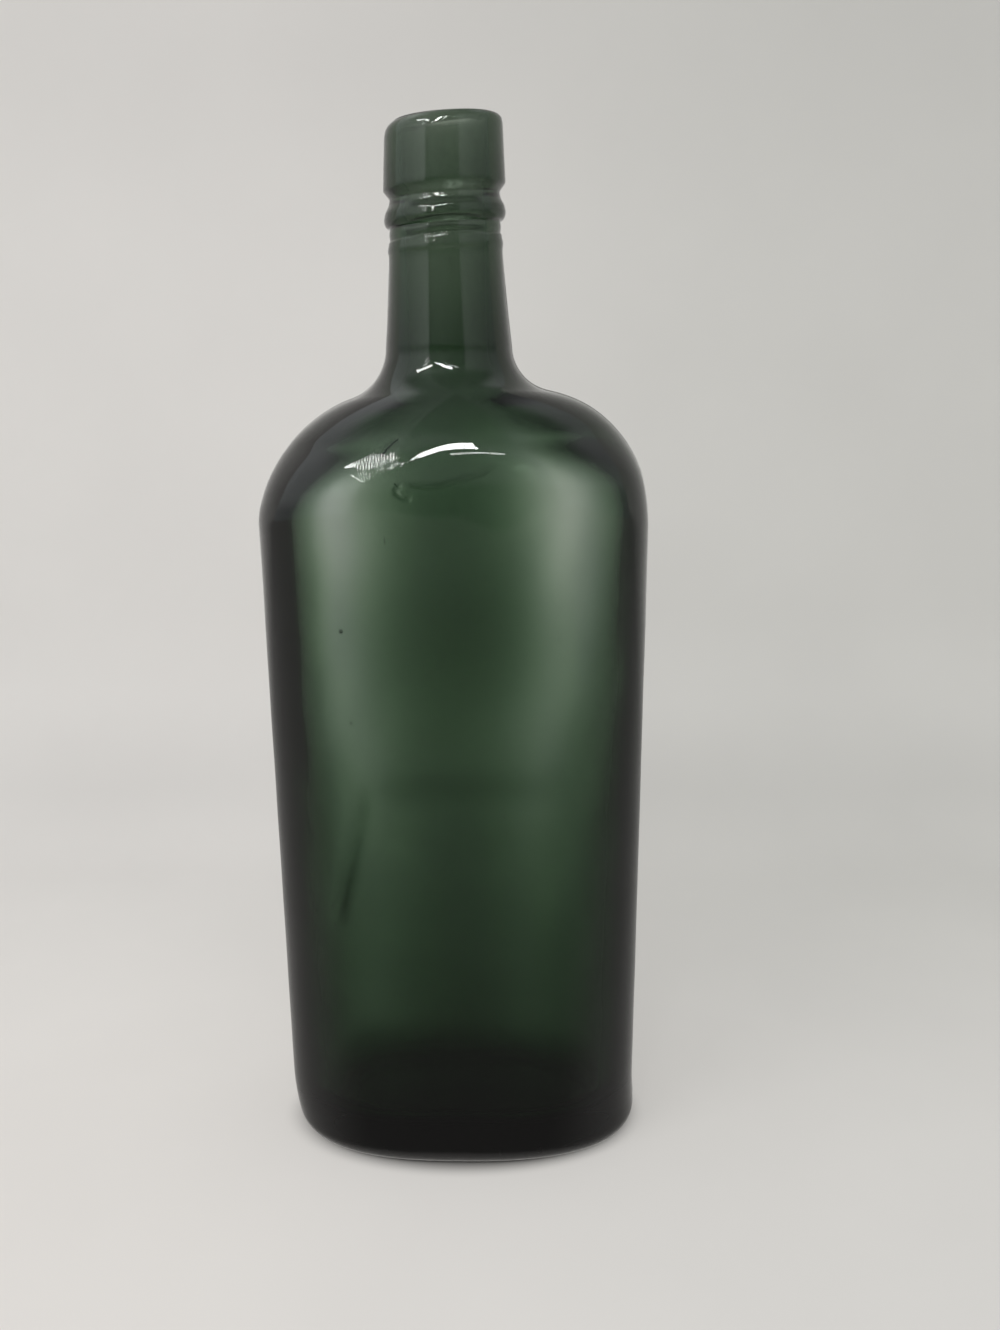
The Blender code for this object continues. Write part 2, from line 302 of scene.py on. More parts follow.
def sheet_colour_with_painted_light(tree, place):
    """The sheet's colour with painted light and shade: paler on the left and on the floor, darker in the bend
    and at the top.
    """
    x, y, z = apart(tree, place)
    across = eased(tree, x, SHEET_SPAN)
    wall = mixed(tree, across, WALL_LEFT, WALL_RIGHT, "RGBA")
    floor = mixed(tree, across, FLOOR_LEFT, FLOOR_RIGHT, "RGBA")
    colour = mixed(tree, eased(tree, y, FLOOR_SPAN), wall, floor, "RGBA")
    mottle = eased(tree, noise(tree, place, MOTTLE_SCALE, MOTTLE_DETAIL), NOISE_SPAN, SHEET_MOTTLE, "LINEAR")
    # Painted shade in the bend and at the top.
    bent = vector_maths(tree, "MULTIPLY", colour, height_shade(tree, z))
    given = {0: bent, "Scale": mottle}
    return add_node(tree, "ShaderNodeVectorMath", given, operation="SCALE").outputs["Vector"]


# %% [markdown]
# ## How far aside
#
# The room in front of the bottle is darker than at its sides, and the glass mirrors that. How far round from
# straight ahead a place or a direction lies is needed by the sheet and by the room, so it is worked out once,
# in a node group.

# %% How far aside: a node group


def make_aside_group():
    """A group that turns a place or a direction into its angle away from the front, to either side."""
    tree, given = group_with("aside_angle", {"Place": "Vector"}, {"Angle": "Float"})
    x, y, _ = apart(tree, given.outputs["Place"])
    turn = maths(tree, "ARCTAN2", x, maths(tree, "MULTIPLY", y, -1))
    add_node(tree, "NodeGroupOutput", {"Angle": maths(tree, "ABSOLUTE", turn)})
    return tree


aside_group = make_aside_group()
print("nodes in the aside group:", len(aside_group.nodes))


def angle_aside(tree, place):
    """The group's angle for a place or a direction, in a material or in the world."""
    node = add_node(tree, "ShaderNodeGroup", node_tree=aside_group)
    tree.links.new(place, node.inputs["Place"])
    return node.outputs["Angle"]


# %% [markdown]
# ## The material of the sheet
#
# Part of its light for the camera is its own plain colour, and the rest is what the lamps give it, so that it
# keeps the bottle's shadow. Under the bottle it has no light of its own, a painted shadow, or the thick base
# would glow. For glossy rays it glows by itself, a painted reflection, nearly in full behind the bottle and
# close round its foot, and only faintly in front. Seen from behind, the wall is clear: the other views need to
# look through it. A plain diffuse sheet under strong lamps could be as pale, but then the lamps would be too
# strong for the glass.

# %% Sheet material
SHEET_OWN_LIGHT = 0.50
# Strengths of the sheet's own glow for glossy rays, a painted reflection in the glass: faint in front, fuller
# aside and behind, and at the foot.
SHEET_MIRRORED_FRONT = 0.28
FLOOR_MIRRORED_SIDE = 0.55
WALL_MIRRORED_SIDE = 0.95
WALL_MIRRORED_SPAN = (0.02, 0.12)
FOOT_MIRRORED = 0.60
FOOT_MIRRORED_SPAN = (1.30, 1.05)
SHEET_MIRRORED_SPAN = (math.radians(36), math.radians(68))
# The oval under the bottle where the sheet's own light is cut: a painted shadow.
UNDER_SIZE = (0.043, 0.027)
UNDER_EDGE = (0.85, 1.10)


def away_from_foot(tree, place):
    """How far a place is from the bottle's axis, as a share of the oval that the bottle covers."""
    shares = (1 / UNDER_SIZE[0], 1 / UNDER_SIZE[1], 1 / UNDER_SIZE[1])
    return vector_maths(tree, "LENGTH", vector_maths(tree, "MULTIPLY", place, shares), result="Value")


def painted_reflection_share(tree, place):
    """How strongly the sheet glows for glossy rays, a painted reflection: most at the foot, and more aside
    than in front.
    """
    climb = eased(tree, apart(tree, place)[2], WALL_MIRRORED_SPAN)
    side = mixed(tree, climb, FLOOR_MIRRORED_SIDE, WALL_MIRRORED_SIDE)
    sideways = eased(tree, angle_aside(tree, place), SHEET_MIRRORED_SPAN)
    aside = mixed(tree, sideways, SHEET_MIRRORED_FRONT, side)
    near = eased(tree, away_from_foot(tree, place), FOOT_MIRRORED_SPAN)
    return maths(tree, "MAXIMUM", aside, maths(tree, "MULTIPLY", near, FOOT_MIRRORED))


def make_sheet_material():
    material, tree = new_material("pale_sheet")
    place = add_node(tree, "ShaderNodeTexCoord").outputs["Object"]
    colour = sheet_colour_with_painted_light(tree, place)
    ray = add_node(tree, "ShaderNodeLightPath").outputs
    seen = maths(tree, "MAXIMUM", ray["Is Camera Ray"], ray["Is Transmission Ray"])
    # For glossy rays the sheet glows as a painted reflection.
    mirrored = maths(tree, "MULTIPLY", ray["Is Glossy Ray"], painted_reflection_share(tree, place))
    # The sheet's own light, cut under the bottle as a painted shadow.
    own_share = maths(tree, "MULTIPLY", eased(tree, away_from_foot(tree, place), UNDER_EDGE), SHEET_OWN_LIGHT)
    lit = add_node(tree, "ShaderNodeBsdfDiffuse", {"Color": colour})
    strength = mixed(tree, seen, mirrored, own_share)
    own = add_node(tree, "ShaderNodeEmission", {"Color": colour, "Strength": strength})
    off = mixed(tree, seen, ray["Is Glossy Ray"], SHEET_OWN_LIGHT)
    kept = add_node(tree, "ShaderNodeMixShader", {"Fac": off, 1: lit.outputs["BSDF"]})
    both = add_node(tree, "ShaderNodeAddShader", {0: kept.outputs["Shader"], 1: own.outputs["Emission"]})
    clear = add_node(tree, "ShaderNodeBsdfTransparent")
    back = add_node(tree, "ShaderNodeNewGeometry").outputs["Backfacing"]
    sides = {"Fac": back, 1: both.outputs["Shader"], 2: clear.outputs["BSDF"]}
    seen_side = add_node(tree, "ShaderNodeMixShader", sides)
    add_node(tree, "ShaderNodeOutputMaterial", {"Surface": seen_side.outputs["Shader"]})
    return material


sheet.data.materials.append(make_sheet_material())
print("nodes in the sheet's material:", len(sheet.data.materials[0].node_tree.nodes))

# %% [markdown]
# ## The lamps
#
# Six lamps in front of the bottle make its small hard highlights: on the shoulder, at the root of the neck
# and on each ring of the lip. A glossy surface shows the outline of what lights it, so area lamps of the same
# outline draw the same strokes. Each lamp is given by the two directions of its ends as the shoulder sees
# them, which is how a stroke on the glass is read back into a lamp in the room.

# %% Lamps
LAMP_DISTANCE = 1.1
LAMP_TARGET_SHARE = 0.71
LAMP_TARGET = Vector((0, body_low.y, cad_high.z * LAMP_TARGET_SHARE))
# Ends as (degrees to the right of the front, degrees up), width in metres, power in watts.
LAMPS = {
    "long_lamp": ((-15.5, 32.5), (7.5, 42.5), 0.075, 2.7),
    "hook_lamp": ((-24, 29), (-15.5, 32.5), 0.035, 0.35),
    "thin_lamp": ((-4.5, 31.8), (19.9, 41.0), 0.026, 0.34),
    "left_lamp": ((-62, 41.5), (-29, 34.0), 0.075, 2.2),
    "upper_small_lamp": ((-45, 34.5), (-31, 23.5), 0.008, 0.12),
    "lower_small_lamp": ((-46, 30), (-33, 19), 0.008, 0.12),
}


def lamp_end(degrees_right, degrees_up):
    """Where an end of a lamp hangs."""
    azimuth, height = math.radians(degrees_right), math.radians(degrees_up)
    level = math.cos(height)
    way = Vector((math.sin(azimuth) * level, -math.cos(azimuth) * level, math.sin(height)))
    return LAMP_TARGET + way * LAMP_DISTANCE


def make_lamp(name):
    first, second, width, power = LAMPS[name]
    first, second = lamp_end(*first), lamp_end(*second)
    middle = (first + second) / 2
    along = (second - first).normalized()
    back = (middle - LAMP_TARGET).normalized()
    back = (back - along * back.dot(along)).normalized()
    light = bpy.data.lights.new(name, "AREA")
    light.shape = "RECTANGLE"
    light.size, light.size_y = (second - first).length, width
    light.energy = power
    lamp = bpy.data.objects.new(name, light)
    axes = Matrix((along, back.cross(along), back)).transposed().to_4x4()
    lamp.matrix_world = Matrix.Translation(middle) @ axes
    scene.collection.objects.link(lamp)
    return light


lights = [make_lamp(name) for name in LAMPS]
print("lamps, length by width, mm:", [(round(l.size * 1000), round(l.size_y * 1000)) for l in lights])

# %% [markdown]
# ## The room
#
# The rest of the room is a soft grey all round, and the glass mirrors it. Straight in front it is dark, which
# the neck shows as a dark upright strip between two paler ones. It is paler on the left than on the right,
# and dark high up, apart from a patch high up behind the bottle, which lights the flat shoulders on either
# side of the neck. A photograph of a real room could light the bottle, but here each share is one smooth step
# over a direction, so it can be set by itself. All this is for glossy rays alone.

# %% The room as the glass mirrors it
ROOM_LIGHT = 0.70
ROOM_SEEN = (0.60, 0.60, 0.575, 1)
ROOM_TINT = (0.97, 1.0, 1.01, 1)
# Strengths low down and higher up, between these heights of the direction.
ROOM_MIRRORED = (0.55, 0.95)
ROOM_DARK = (0.05, 0.32)
ROOM_HEIGHTS = (math.sin(math.radians(2)), math.sin(math.radians(16)))
LEFT_AND_RIGHT = (1.25, 0.72)
SIDE_SPAN = (-0.4, 0.4)
DARK_HALF_ANGLE = math.radians(32)
DARK_EDGE = math.radians(3)
PALE_END = math.radians(75)
FAR_SHARE = 0.8
CEILING_MIRRORED = 0.65
CEILING_SPAN = (math.sin(math.radians(32)), math.sin(math.radians(46)))
HIGH_SHARE = 0.45
HIGH_SPAN = (math.sin(math.radians(38)), math.sin(math.radians(55)))
HIGH_PATCH = 0.95
HIGH_PATCH_HEIGHTS = (0.60, 0.85)
HIGH_PATCH_SIDES = (0.24, 0.40)
HIGH_PATCH_BEHIND = (-0.1, 0.25)


def mirrored_room(tree, way):
    """How bright the room is, in each direction, for the glass that mirrors it."""
    right, behind, up = apart(tree, way)
    aside = angle_aside(tree, way)
    climb = eased(tree, up, ROOM_HEIGHTS)
    side_of_strip = eased(tree, aside, (DARK_HALF_ANGLE - DARK_EDGE, DARK_HALF_ANGLE + DARK_EDGE))
    pale = mixed(tree, side_of_strip, mixed(tree, climb, *ROOM_DARK), mixed(tree, climb, *ROOM_MIRRORED))
    fading = eased(tree, aside, (DARK_HALF_ANGLE, PALE_END), (1, FAR_SHARE))
    ceiling = eased(tree, up, CEILING_SPAN, (0, CEILING_MIRRORED))
    brightest = maths(tree, "MAXIMUM", maths(tree, "MULTIPLY", pale, fading), ceiling)
    patch = maths(
        tree,
        "MULTIPLY",
        eased(tree, up, HIGH_PATCH_HEIGHTS),
        eased(tree, maths(tree, "ABSOLUTE", right), HIGH_PATCH_SIDES),
        eased(tree, behind, HIGH_PATCH_BEHIND),
        HIGH_PATCH,
    )
    high = maths(tree, "ADD", eased(tree, up, HIGH_SPAN, (1, HIGH_SHARE)), patch)
    return maths(tree, "MULTIPLY", brightest, eased(tree, right, SIDE_SPAN, LEFT_AND_RIGHT), high)


# %% World


def make_world():
    world = bpy.data.worlds.new("room")
    world.use_nodes = True
    tree = world.node_tree
    tree.nodes.clear()
    way = add_node(tree, "ShaderNodeTexCoord").outputs["Generated"]
    room = add_node(tree, "ShaderNodeBackground", {"Color": PLAIN_WHITE, "Strength": ROOM_LIGHT})
    seen = add_node(tree, "ShaderNodeBackground", {"Color": ROOM_SEEN})
    glossy = add_node(
        tree, "ShaderNodeBackground", {"Color": ROOM_TINT, "Strength": mirrored_room(tree, way)}
    )
    ray = add_node(tree, "ShaderNodeLightPath").outputs
    direct = maths(tree, "MAXIMUM", ray["Is Camera Ray"], ray["Is Transmission Ray"])
    parts = {"Fac": ray["Is Glossy Ray"], 1: room.outputs["Background"], 2: glossy.outputs["Background"]}
    first = add_node(tree, "ShaderNodeMixShader", parts)
    parts = {"Fac": direct, 1: first.outputs["Shader"], 2: seen.outputs["Background"]}
    second = add_node(tree, "ShaderNodeMixShader", parts)
    add_node(tree, "ShaderNodeOutputWorld", {"Surface": second.outputs["Shader"]})
    return world


scene.world = make_world()
scene.view_settings.view_transform = "Standard"
print("nodes in the room:", len(scene.world.node_tree.nodes))

# %% [markdown]
# ## The glass skin: why one piece
#
# On the real bottle the lip is a second gather of glass, welded hot onto the sheared end of the neck. Light
# crosses that weld as if it were not there. Two meshes with a gap between them would mirror light inside the
# neck, which the real one doesn't, and two meshes that touch leave the renderer unsure which glass a ray is
# in. So the glass is one closed skin, outside and inside in one mesh, and it replaces both CAD nodes.
#
# It could be made with a Solidify modifier, but blown glass has no even wall. Here every ring of the outside
# and every ring of the inside is worked out from its own outline, with the same rules as the CAD solids and
# many more points. Two outlines drive each surface: the half width seen from the front and the half depth
# seen from the side. A superellipse joins them into an oval.

# %% Sizes of the outside
BODY_WIDTH = body_high.x - body_low.x
BODY_DEPTH = body_high.y - body_low.y
FOOT_WIDTH = 0.0863
FOOT_DEPTH = 0.0534
WALL_TOP_HEIGHT = 0.1527
SIDE_SHOULDER_RADIUS = 0.0305
FACE_SHOULDER_RADIUS = 0.0320
SIDE_ROOT_RADIUS = 0.0111
FACE_ROOT_RADIUS = 0.0130
NECK_ROOT_RADIUS = 0.0141
NECK_END_RADIUS = 0.0125
NECK_LENGTH = 0.0227
HEEL_RADIUS = 0.0057
BEARING_WIDTH = 0.0050
PUSH_UP_HEIGHT = 0.0036
OUTSIDE_SQUARENESS = 2.5
ROUND_SQUARENESS = 2.0
ROUND_SHARE = 0.45
STEEPEST_TURN = math.radians(84)
print("body, mm:", round(BODY_WIDTH * 1000, 1), round(BODY_DEPTH * 1000, 1))

# %% [markdown]
# ## Crookedness
#
# The bottle was taken from the mould and finished by hand while it was soft. Its shoulders lean, the neck
# drifts aside and the lip slants. A lattice could bend the finished mesh, but a rule that moves each point by
# its height is the same for the outside, the inside and the CAD solids.

# %% Crookedness
SHOULDER_SLOPE = math.radians(2.6)
LIP_SLOPE = math.radians(3.8)
NECK_DRIFT = 0.0009
SLOPE_FULL_SHARE = 0.25
SLOPE_FADE_SHARE = 0.6
NECK_SLOPE_SHARE = 0.55


def ease(share):
    """A smooth step from 0 to 1, on numbers or arrays."""
    share = np.clip(share, 0, 1)
    return share * share * (3 - 2 * share)


def stepped(value, span):
    """A smooth step from 0 to 1 while a value runs over a span."""
    return ease((value - span[0]) / (span[1] - span[0]))


def between(ends, share):
    """What lies a share of the way between two ends."""
    return ends[0] + (ends[1] - ends[0]) * share


def shoulder_turn(span, radius, root_radius):
    """How far the shoulder's arc turns in, and the straight slope that is left between it and the fillet."""
    cosine = 1 - span / (radius + root_radius)
    turn = math.acos(max(cosine, math.cos(STEEPEST_TURN)))
    covered = (radius + root_radius) * (1 - math.cos(turn))
    return turn, (span - covered) / math.sin(turn)


def shoulder_rise(span, radius, root_radius):
    turn, slope = shoulder_turn(span, radius, root_radius)
    return (radius + root_radius) * math.sin(turn) + slope * math.cos(turn)


side_rise = shoulder_rise(BODY_WIDTH / 2 - NECK_ROOT_RADIUS, SIDE_SHOULDER_RADIUS, SIDE_ROOT_RADIUS)
face_rise = shoulder_rise(BODY_DEPTH / 2 - NECK_ROOT_RADIUS, FACE_SHOULDER_RADIUS, FACE_ROOT_RADIUS)
neck_root_height = WALL_TOP_HEIGHT + side_rise
face_top_height = neck_root_height - face_rise
seat_height = neck_root_height + NECK_LENGTH
slope_start = neck_root_height + NECK_LENGTH * NECK_SLOPE_SHARE
print("neck root and lip seat, mm:", round(neck_root_height * 1000, 2), round(seat_height * 1000, 2))


def crooked(x, y, z):
    """Moves points of the upright bottle to where hand work left them."""
    climb = (z - WALL_TOP_HEIGHT) / (neck_root_height - WALL_TOP_HEIGHT)
    shoulder = ease(climb / SLOPE_FULL_SHARE) * (1 - stepped(climb, (SLOPE_FADE_SHARE, 1)))
    shoulder = math.tan(SHOULDER_SLOPE) * shoulder
    lip = math.tan(LIP_SLOPE) * stepped(z, (slope_start, seat_height))
    drift = NECK_DRIFT * np.clip((z - WALL_TOP_HEIGHT) / (seat_height - WALL_TOP_HEIGHT), 0, 1)
    return x - drift, y, z + x * (shoulder + lip)


# %% [markdown]
# ## Rings
#
# A ring is a row of points round the bottle, one for each angle. The angles lie closer together where folds
# run on the front and seams on the narrow sides, since a ridge needs a few points across it to show. A
# Subdivision Surface would add points everywhere instead. Every ring uses the same angles, so that a face of
# the skin simply joins four neighbours.

# %% Angles round the bottle
BASE_ANGLES = 300
FINE_ZONES = ((212, 300, 3), (-4, 4, 4), (176, 184, 4))


def angles_round():
    """All angles in order. Each fine zone has a start and an end in degrees, and a factor."""
    even = np.linspace(0, 2 * math.pi, BASE_ANGLES, endpoint=False)
    step = even[1]
    angles = [even]
    for start, end, factor in FINE_ZONES:
        start, end = math.radians(start), math.radians(end)
        inside = ((even - start) % (2 * math.pi)) < end - start
        angles += [even[inside] + step * part / factor for part in range(1, factor)]
    return np.sort(np.concatenate(angles) % (2 * math.pi))


turns = angles_round()
cosines, sines = np.cos(turns), np.sin(turns)
print("points in a ring:", len(turns))


def oval_ring(half_width, half_depth, side_height, face_height, squareness):
    """One ring of the body: a superellipse, whose height runs from its sides to its faces."""
    reach = (np.abs(cosines) ** squareness + np.abs(sines) ** squareness) ** (-1 / squareness)
    x = half_width * reach * cosines
    y = half_depth * reach * sines
    z = side_height + (face_height - side_height) * sines**2
    return np.stack(np.broadcast_arrays(x, y, z), axis=1)


def round_ring(radius, height):
    """One ring of the neck or the lip. Its radius and height may change with the angle."""
    return np.stack(np.broadcast_arrays(radius * cosines, radius * sines, height + 0 * cosines), axis=1)


# %% Outlines
HEEL_STEPS = 14
SHOULDER_STEPS = 110
ROOT_STEPS = 26
WALL_STEPS = 80


def wall_outline(foot_half, foot_height, corner_radius, top_half, top_height):
    """(half size, height) rows round the corner at the foot and up the wall."""
    corner = np.linspace(0, math.pi / 2, HEEL_STEPS + 1)
    climb = np.linspace(0, 1, WALL_STEPS + 1)[1:]
    halves = np.concatenate([
        foot_half - corner_radius * (1 - np.sin(corner)),
        foot_half + (top_half - foot_half) * climb,
    ])
    heights = np.concatenate([
        foot_height + corner_radius * (1 - np.cos(corner)),
        foot_height + corner_radius + (top_height - foot_height - corner_radius) * climb,
    ])
    return halves, heights


def shoulder_outline(half, start, neck_half, radius, root_radius):
    """(half size, height) rows in over the shoulder and up the fillet to the root of the neck."""
    turn, _ = shoulder_turn(half - neck_half, radius, root_radius)
    root = start + shoulder_rise(half - neck_half, radius, root_radius)
    over = np.linspace(0, turn, SHOULDER_STEPS + 1)[1:]
    up = np.linspace(turn, 0, ROOT_STEPS + 1)[1:]
    halves = np.concatenate([half - radius * (1 - np.cos(over)), neck_half + root_radius * (1 - np.cos(up))])
    heights = np.concatenate([start + radius * np.sin(over), root - root_radius * np.sin(up)])
    return halves, heights


def blown_rings(foot_height, corner_radius, neck_half, side, face, foot_squareness, top_squareness):
    """Rings of a blown surface. Its ovals change up the wall, and turn round over the shoulder.

    side and face each hold half the foot, half the wall's top, its height, and the two radii of the shoulder.
    """
    rows = []
    for foot_half, half, start, radius, root_radius in (side, face):
        wall = wall_outline(foot_half, foot_height, corner_radius, half, start)
        shoulder = shoulder_outline(half, start, neck_half, radius, root_radius)
        rows += [np.concatenate(pair) for pair in zip(wall, shoulder)]
    widths, side_heights, depths, face_heights = rows
    first = HEEL_STEPS + WALL_STEPS
    index = np.arange(len(widths))
    over = stepped(index, (first, len(widths) - 1))
    squareness = between((foot_squareness, top_squareness), stepped(index, (HEEL_STEPS, first)))
    squareness = squareness + (ROUND_SQUARENESS - squareness) * ease(over / ROUND_SHARE)
    return [oval_ring(*row) for row in zip(widths, depths, side_heights, face_heights, squareness)]


# %% [markdown]
# ## The outside
#
# From below, the outside is a shallow push-up, a flat ring that the bottle stands on, a small round heel,
# walls that widen a little on the way up, broad round shoulders and a fillet into the neck. The push-up is a
# dome of rings. Everything above it comes from the two outlines. The heel is drawn in on the left and filled
# out on the right, which a shift of the lowest rings does more simply than a second outline.

# %% Outside rings
DOME_STEPS = 16
HEEL_SHIFT_HEIGHT = 0.016
LEFT_HEEL_SHIFT = 0.0024
RIGHT_HEEL_SHIFT = 0.0009


def dome_rings(half_width, half_depth, edge_height, rise, squareness):
    shares = (np.arange(DOME_STEPS) + 0.5) / DOME_STEPS
    return [
        oval_ring(half_width * share, half_depth * share, height, height, squareness)
        for share, height in zip(shares, edge_height + rise * (1 - shares**2))
    ]


def slumped_heel(ring, share):
    """Draws the heel in on the left and fills it on the right, by a share from 0 in the middle to 1."""
    x, y, z = ring.T
    low_share = np.clip(1 - z / HEEL_SHIFT_HEIGHT, 0, 1) ** 2
    left = LEFT_HEEL_SHIFT * np.clip(-cosines, 0, 1) ** 2
    right = RIGHT_HEEL_SHIFT * np.clip(cosines, 0, 1) ** 2
    return np.stack([x + low_share * share * (left + right), y, z], axis=1)


def outside_rings():
    inset = HEEL_RADIUS + BEARING_WIDTH
    push_width, push_depth = FOOT_WIDTH / 2 - inset, FOOT_DEPTH / 2 - inset
    bearing = oval_ring(push_width, push_depth, 0, 0, OUTSIDE_SQUARENESS)
    side = (FOOT_WIDTH / 2, BODY_WIDTH / 2, WALL_TOP_HEIGHT, SIDE_SHOULDER_RADIUS, SIDE_ROOT_RADIUS)
    face = (FOOT_DEPTH / 2, BODY_DEPTH / 2, face_top_height, FACE_SHOULDER_RADIUS, FACE_ROOT_RADIUS)
    squareness = (OUTSIDE_SQUARENESS, OUTSIDE_SQUARENESS)
    body = blown_rings(0, HEEL_RADIUS, NECK_ROOT_RADIUS, side, face, *squareness)
    dome = dome_rings(push_width, push_depth, 0, PUSH_UP_HEIGHT, OUTSIDE_SQUARENESS)
    dome = [slumped_heel(ring, (index + 0.5) / DOME_STEPS) for index, ring in enumerate(dome)]
    return dome + [slumped_heel(ring, 1) for ring in [bearing] + body]


outside = outside_rings()
print("rings outside, below the neck:", len(outside))

# %% [markdown]
# ## Neck and lip
#
# The neck narrows upwards in a slow curve, and swells faintly just below the lip. The lip was made by laying
# a trail of hot glass round its sheared end and pressing it with a tool that turned in the mouth. The tool
# left, from below, a narrow band, a bead with a long slope above it, a waist, and a tall collar whose foot
# slopes in to the waist. On the slope and on the rim it left narrow flats, which catch the lamps as strokes.
# Because the hand turned unevenly, the lip's left top edge slumped rounder than its right one. A profile
# turned with Spin or Screw would be even all round. Here radii and heights may change with the angle.

# %% Lip sizes
BORE_RADIUS = 0.0088
NECK_STEPS = 60
NARROWING_POWER = 1.5
SWELL = 0.00024
SWELL_BELOW = 0.0016
SWELL_SPREAD = 0.0009
BAND_HEIGHT = 0.0030
BAND_INSET = 0.0003
BAND_RING_PROUD = 0.00012
STEP_HEIGHT = 0.0006
BEAD_PROUD = 0.0009
BEAD_FOOT_HEIGHT = 0.0019
BEAD_SLOPE_HEIGHT = 0.0040
WAIST_INSET = 0.0004
COLLAR_SLOPE_HEIGHT = 0.0023
COLLAR_HEIGHT = 0.0138
COLLAR_FOOT_PROUD = 0.0009
COLLAR_TOP_PROUD = 0.0004
RIM_RADIUS = 0.0016
RIM_SLUMP = 0.0014
SLUMP_ANGLE = math.radians(205)
MOUTH_EDGE_RADIUS = 0.0013
MOUTH_WIDENING = 0.0007
TOOL_WAVES = ((3, 0.5, 0.4), (5, 0.3, 2.1), (9, 0.2, 4.4))
TOOL_UNEVEN = 0.00022
BAND_TOP_UNEVEN_SHARE = 0.3
FLAT_TILT = 11
RIM_FLAT = 0.0006
# Share of the slope's height, steepness there.
BEAD_STEEPNESS = (
    (0, 0), (0.03, 0.58), (0.25, 0.58), (0.42, 1.6), (0.66, 1.6), (0.80, 0.58), (0.97, 0.58), (1, 0),
)
# Rings on each form of the lip, from below.
STEP_RINGS, HALF_BAND_RINGS, BEAD_RINGS, BEAD_SLOPE_RINGS, COLLAR_SLOPE_RINGS = 8, 6, 14, 36, 14
COLLAR_RINGS, FLAT_RINGS, EDGE_RINGS, MOUTH_RINGS = 14, 4, 14, 9

lip_height = BAND_HEIGHT + BEAD_FOOT_HEIGHT + BEAD_SLOPE_HEIGHT + COLLAR_SLOPE_HEIGHT + COLLAR_HEIGHT
rim_height = seat_height + lip_height
print("lip, mm:", round(lip_height * 1000, 1), "up to", round(rim_height * 1000, 1))

# %% Helpers for tooled rings


def around(waves):
    """A smooth uneven value for each angle, between about -1 and 1."""
    return sum(share * np.sin(count * turns + start) for count, share, start in waves)


def slumped():
    """How far the rim has slumped at each angle: 1 at the left, 0 at the right."""
    return (0.5 + 0.5 * np.cos(turns - SLUMP_ANGLE)) ** 2


def arc_rings(radius, height, across, along, start, end, count):
    """Rings along an elliptical arc of the profile, with angles in degrees from the outward direction."""
    return [
        round_ring(radius + across * math.cos(angle), height + along * math.sin(angle))
        for angle in np.radians(np.linspace(start, end, count + 1))
    ]


def rings_between(low, high, shares_out, shares_up):
    """Rings from one (radius, height) of the profile to another, by shares of the way out and up."""
    ways = zip(shares_out, shares_up)
    return [
        round_ring(between((low[0], high[0]), out), between((low[1], high[1]), up)) for out, up in ways
    ]


def slope_rings(low, high, count):
    """Rings along an S-shaped slope of the profile, from just above its low end up to its high end."""
    shares = np.linspace(0, 1, count + 1)[1:]
    return rings_between(low, high, ease(shares), shares)


def tooled_slope_rings(low, high, steepness, count):
    """Rings along a slope that is as steep at each height as the tool left it."""
    shares = np.linspace(0, 1, count + 1)
    steep = np.interp(shares, *zip(*steepness))
    climb = np.cumsum(steep[1:] + steep[:-1])
    return rings_between(low, high, climb / climb[-1], shares[1:])


# %% Neck and lip rings


def neck_rings():
    """Up the neck, from its root to the seat of the lip."""
    shares = np.linspace(0, 1, NECK_STEPS)[1:-1]
    narrowing = 1 - (1 - shares) ** NARROWING_POWER
    radii = NECK_ROOT_RADIUS + (NECK_END_RADIUS - NECK_ROOT_RADIUS) * narrowing
    heights = neck_root_height + NECK_LENGTH * shares
    radii = radii + SWELL * np.exp(-(((seat_height - SWELL_BELOW - heights) / SWELL_SPREAD) ** 2))
    return [round_ring(radius, height) for radius, height in zip(radii, heights)]


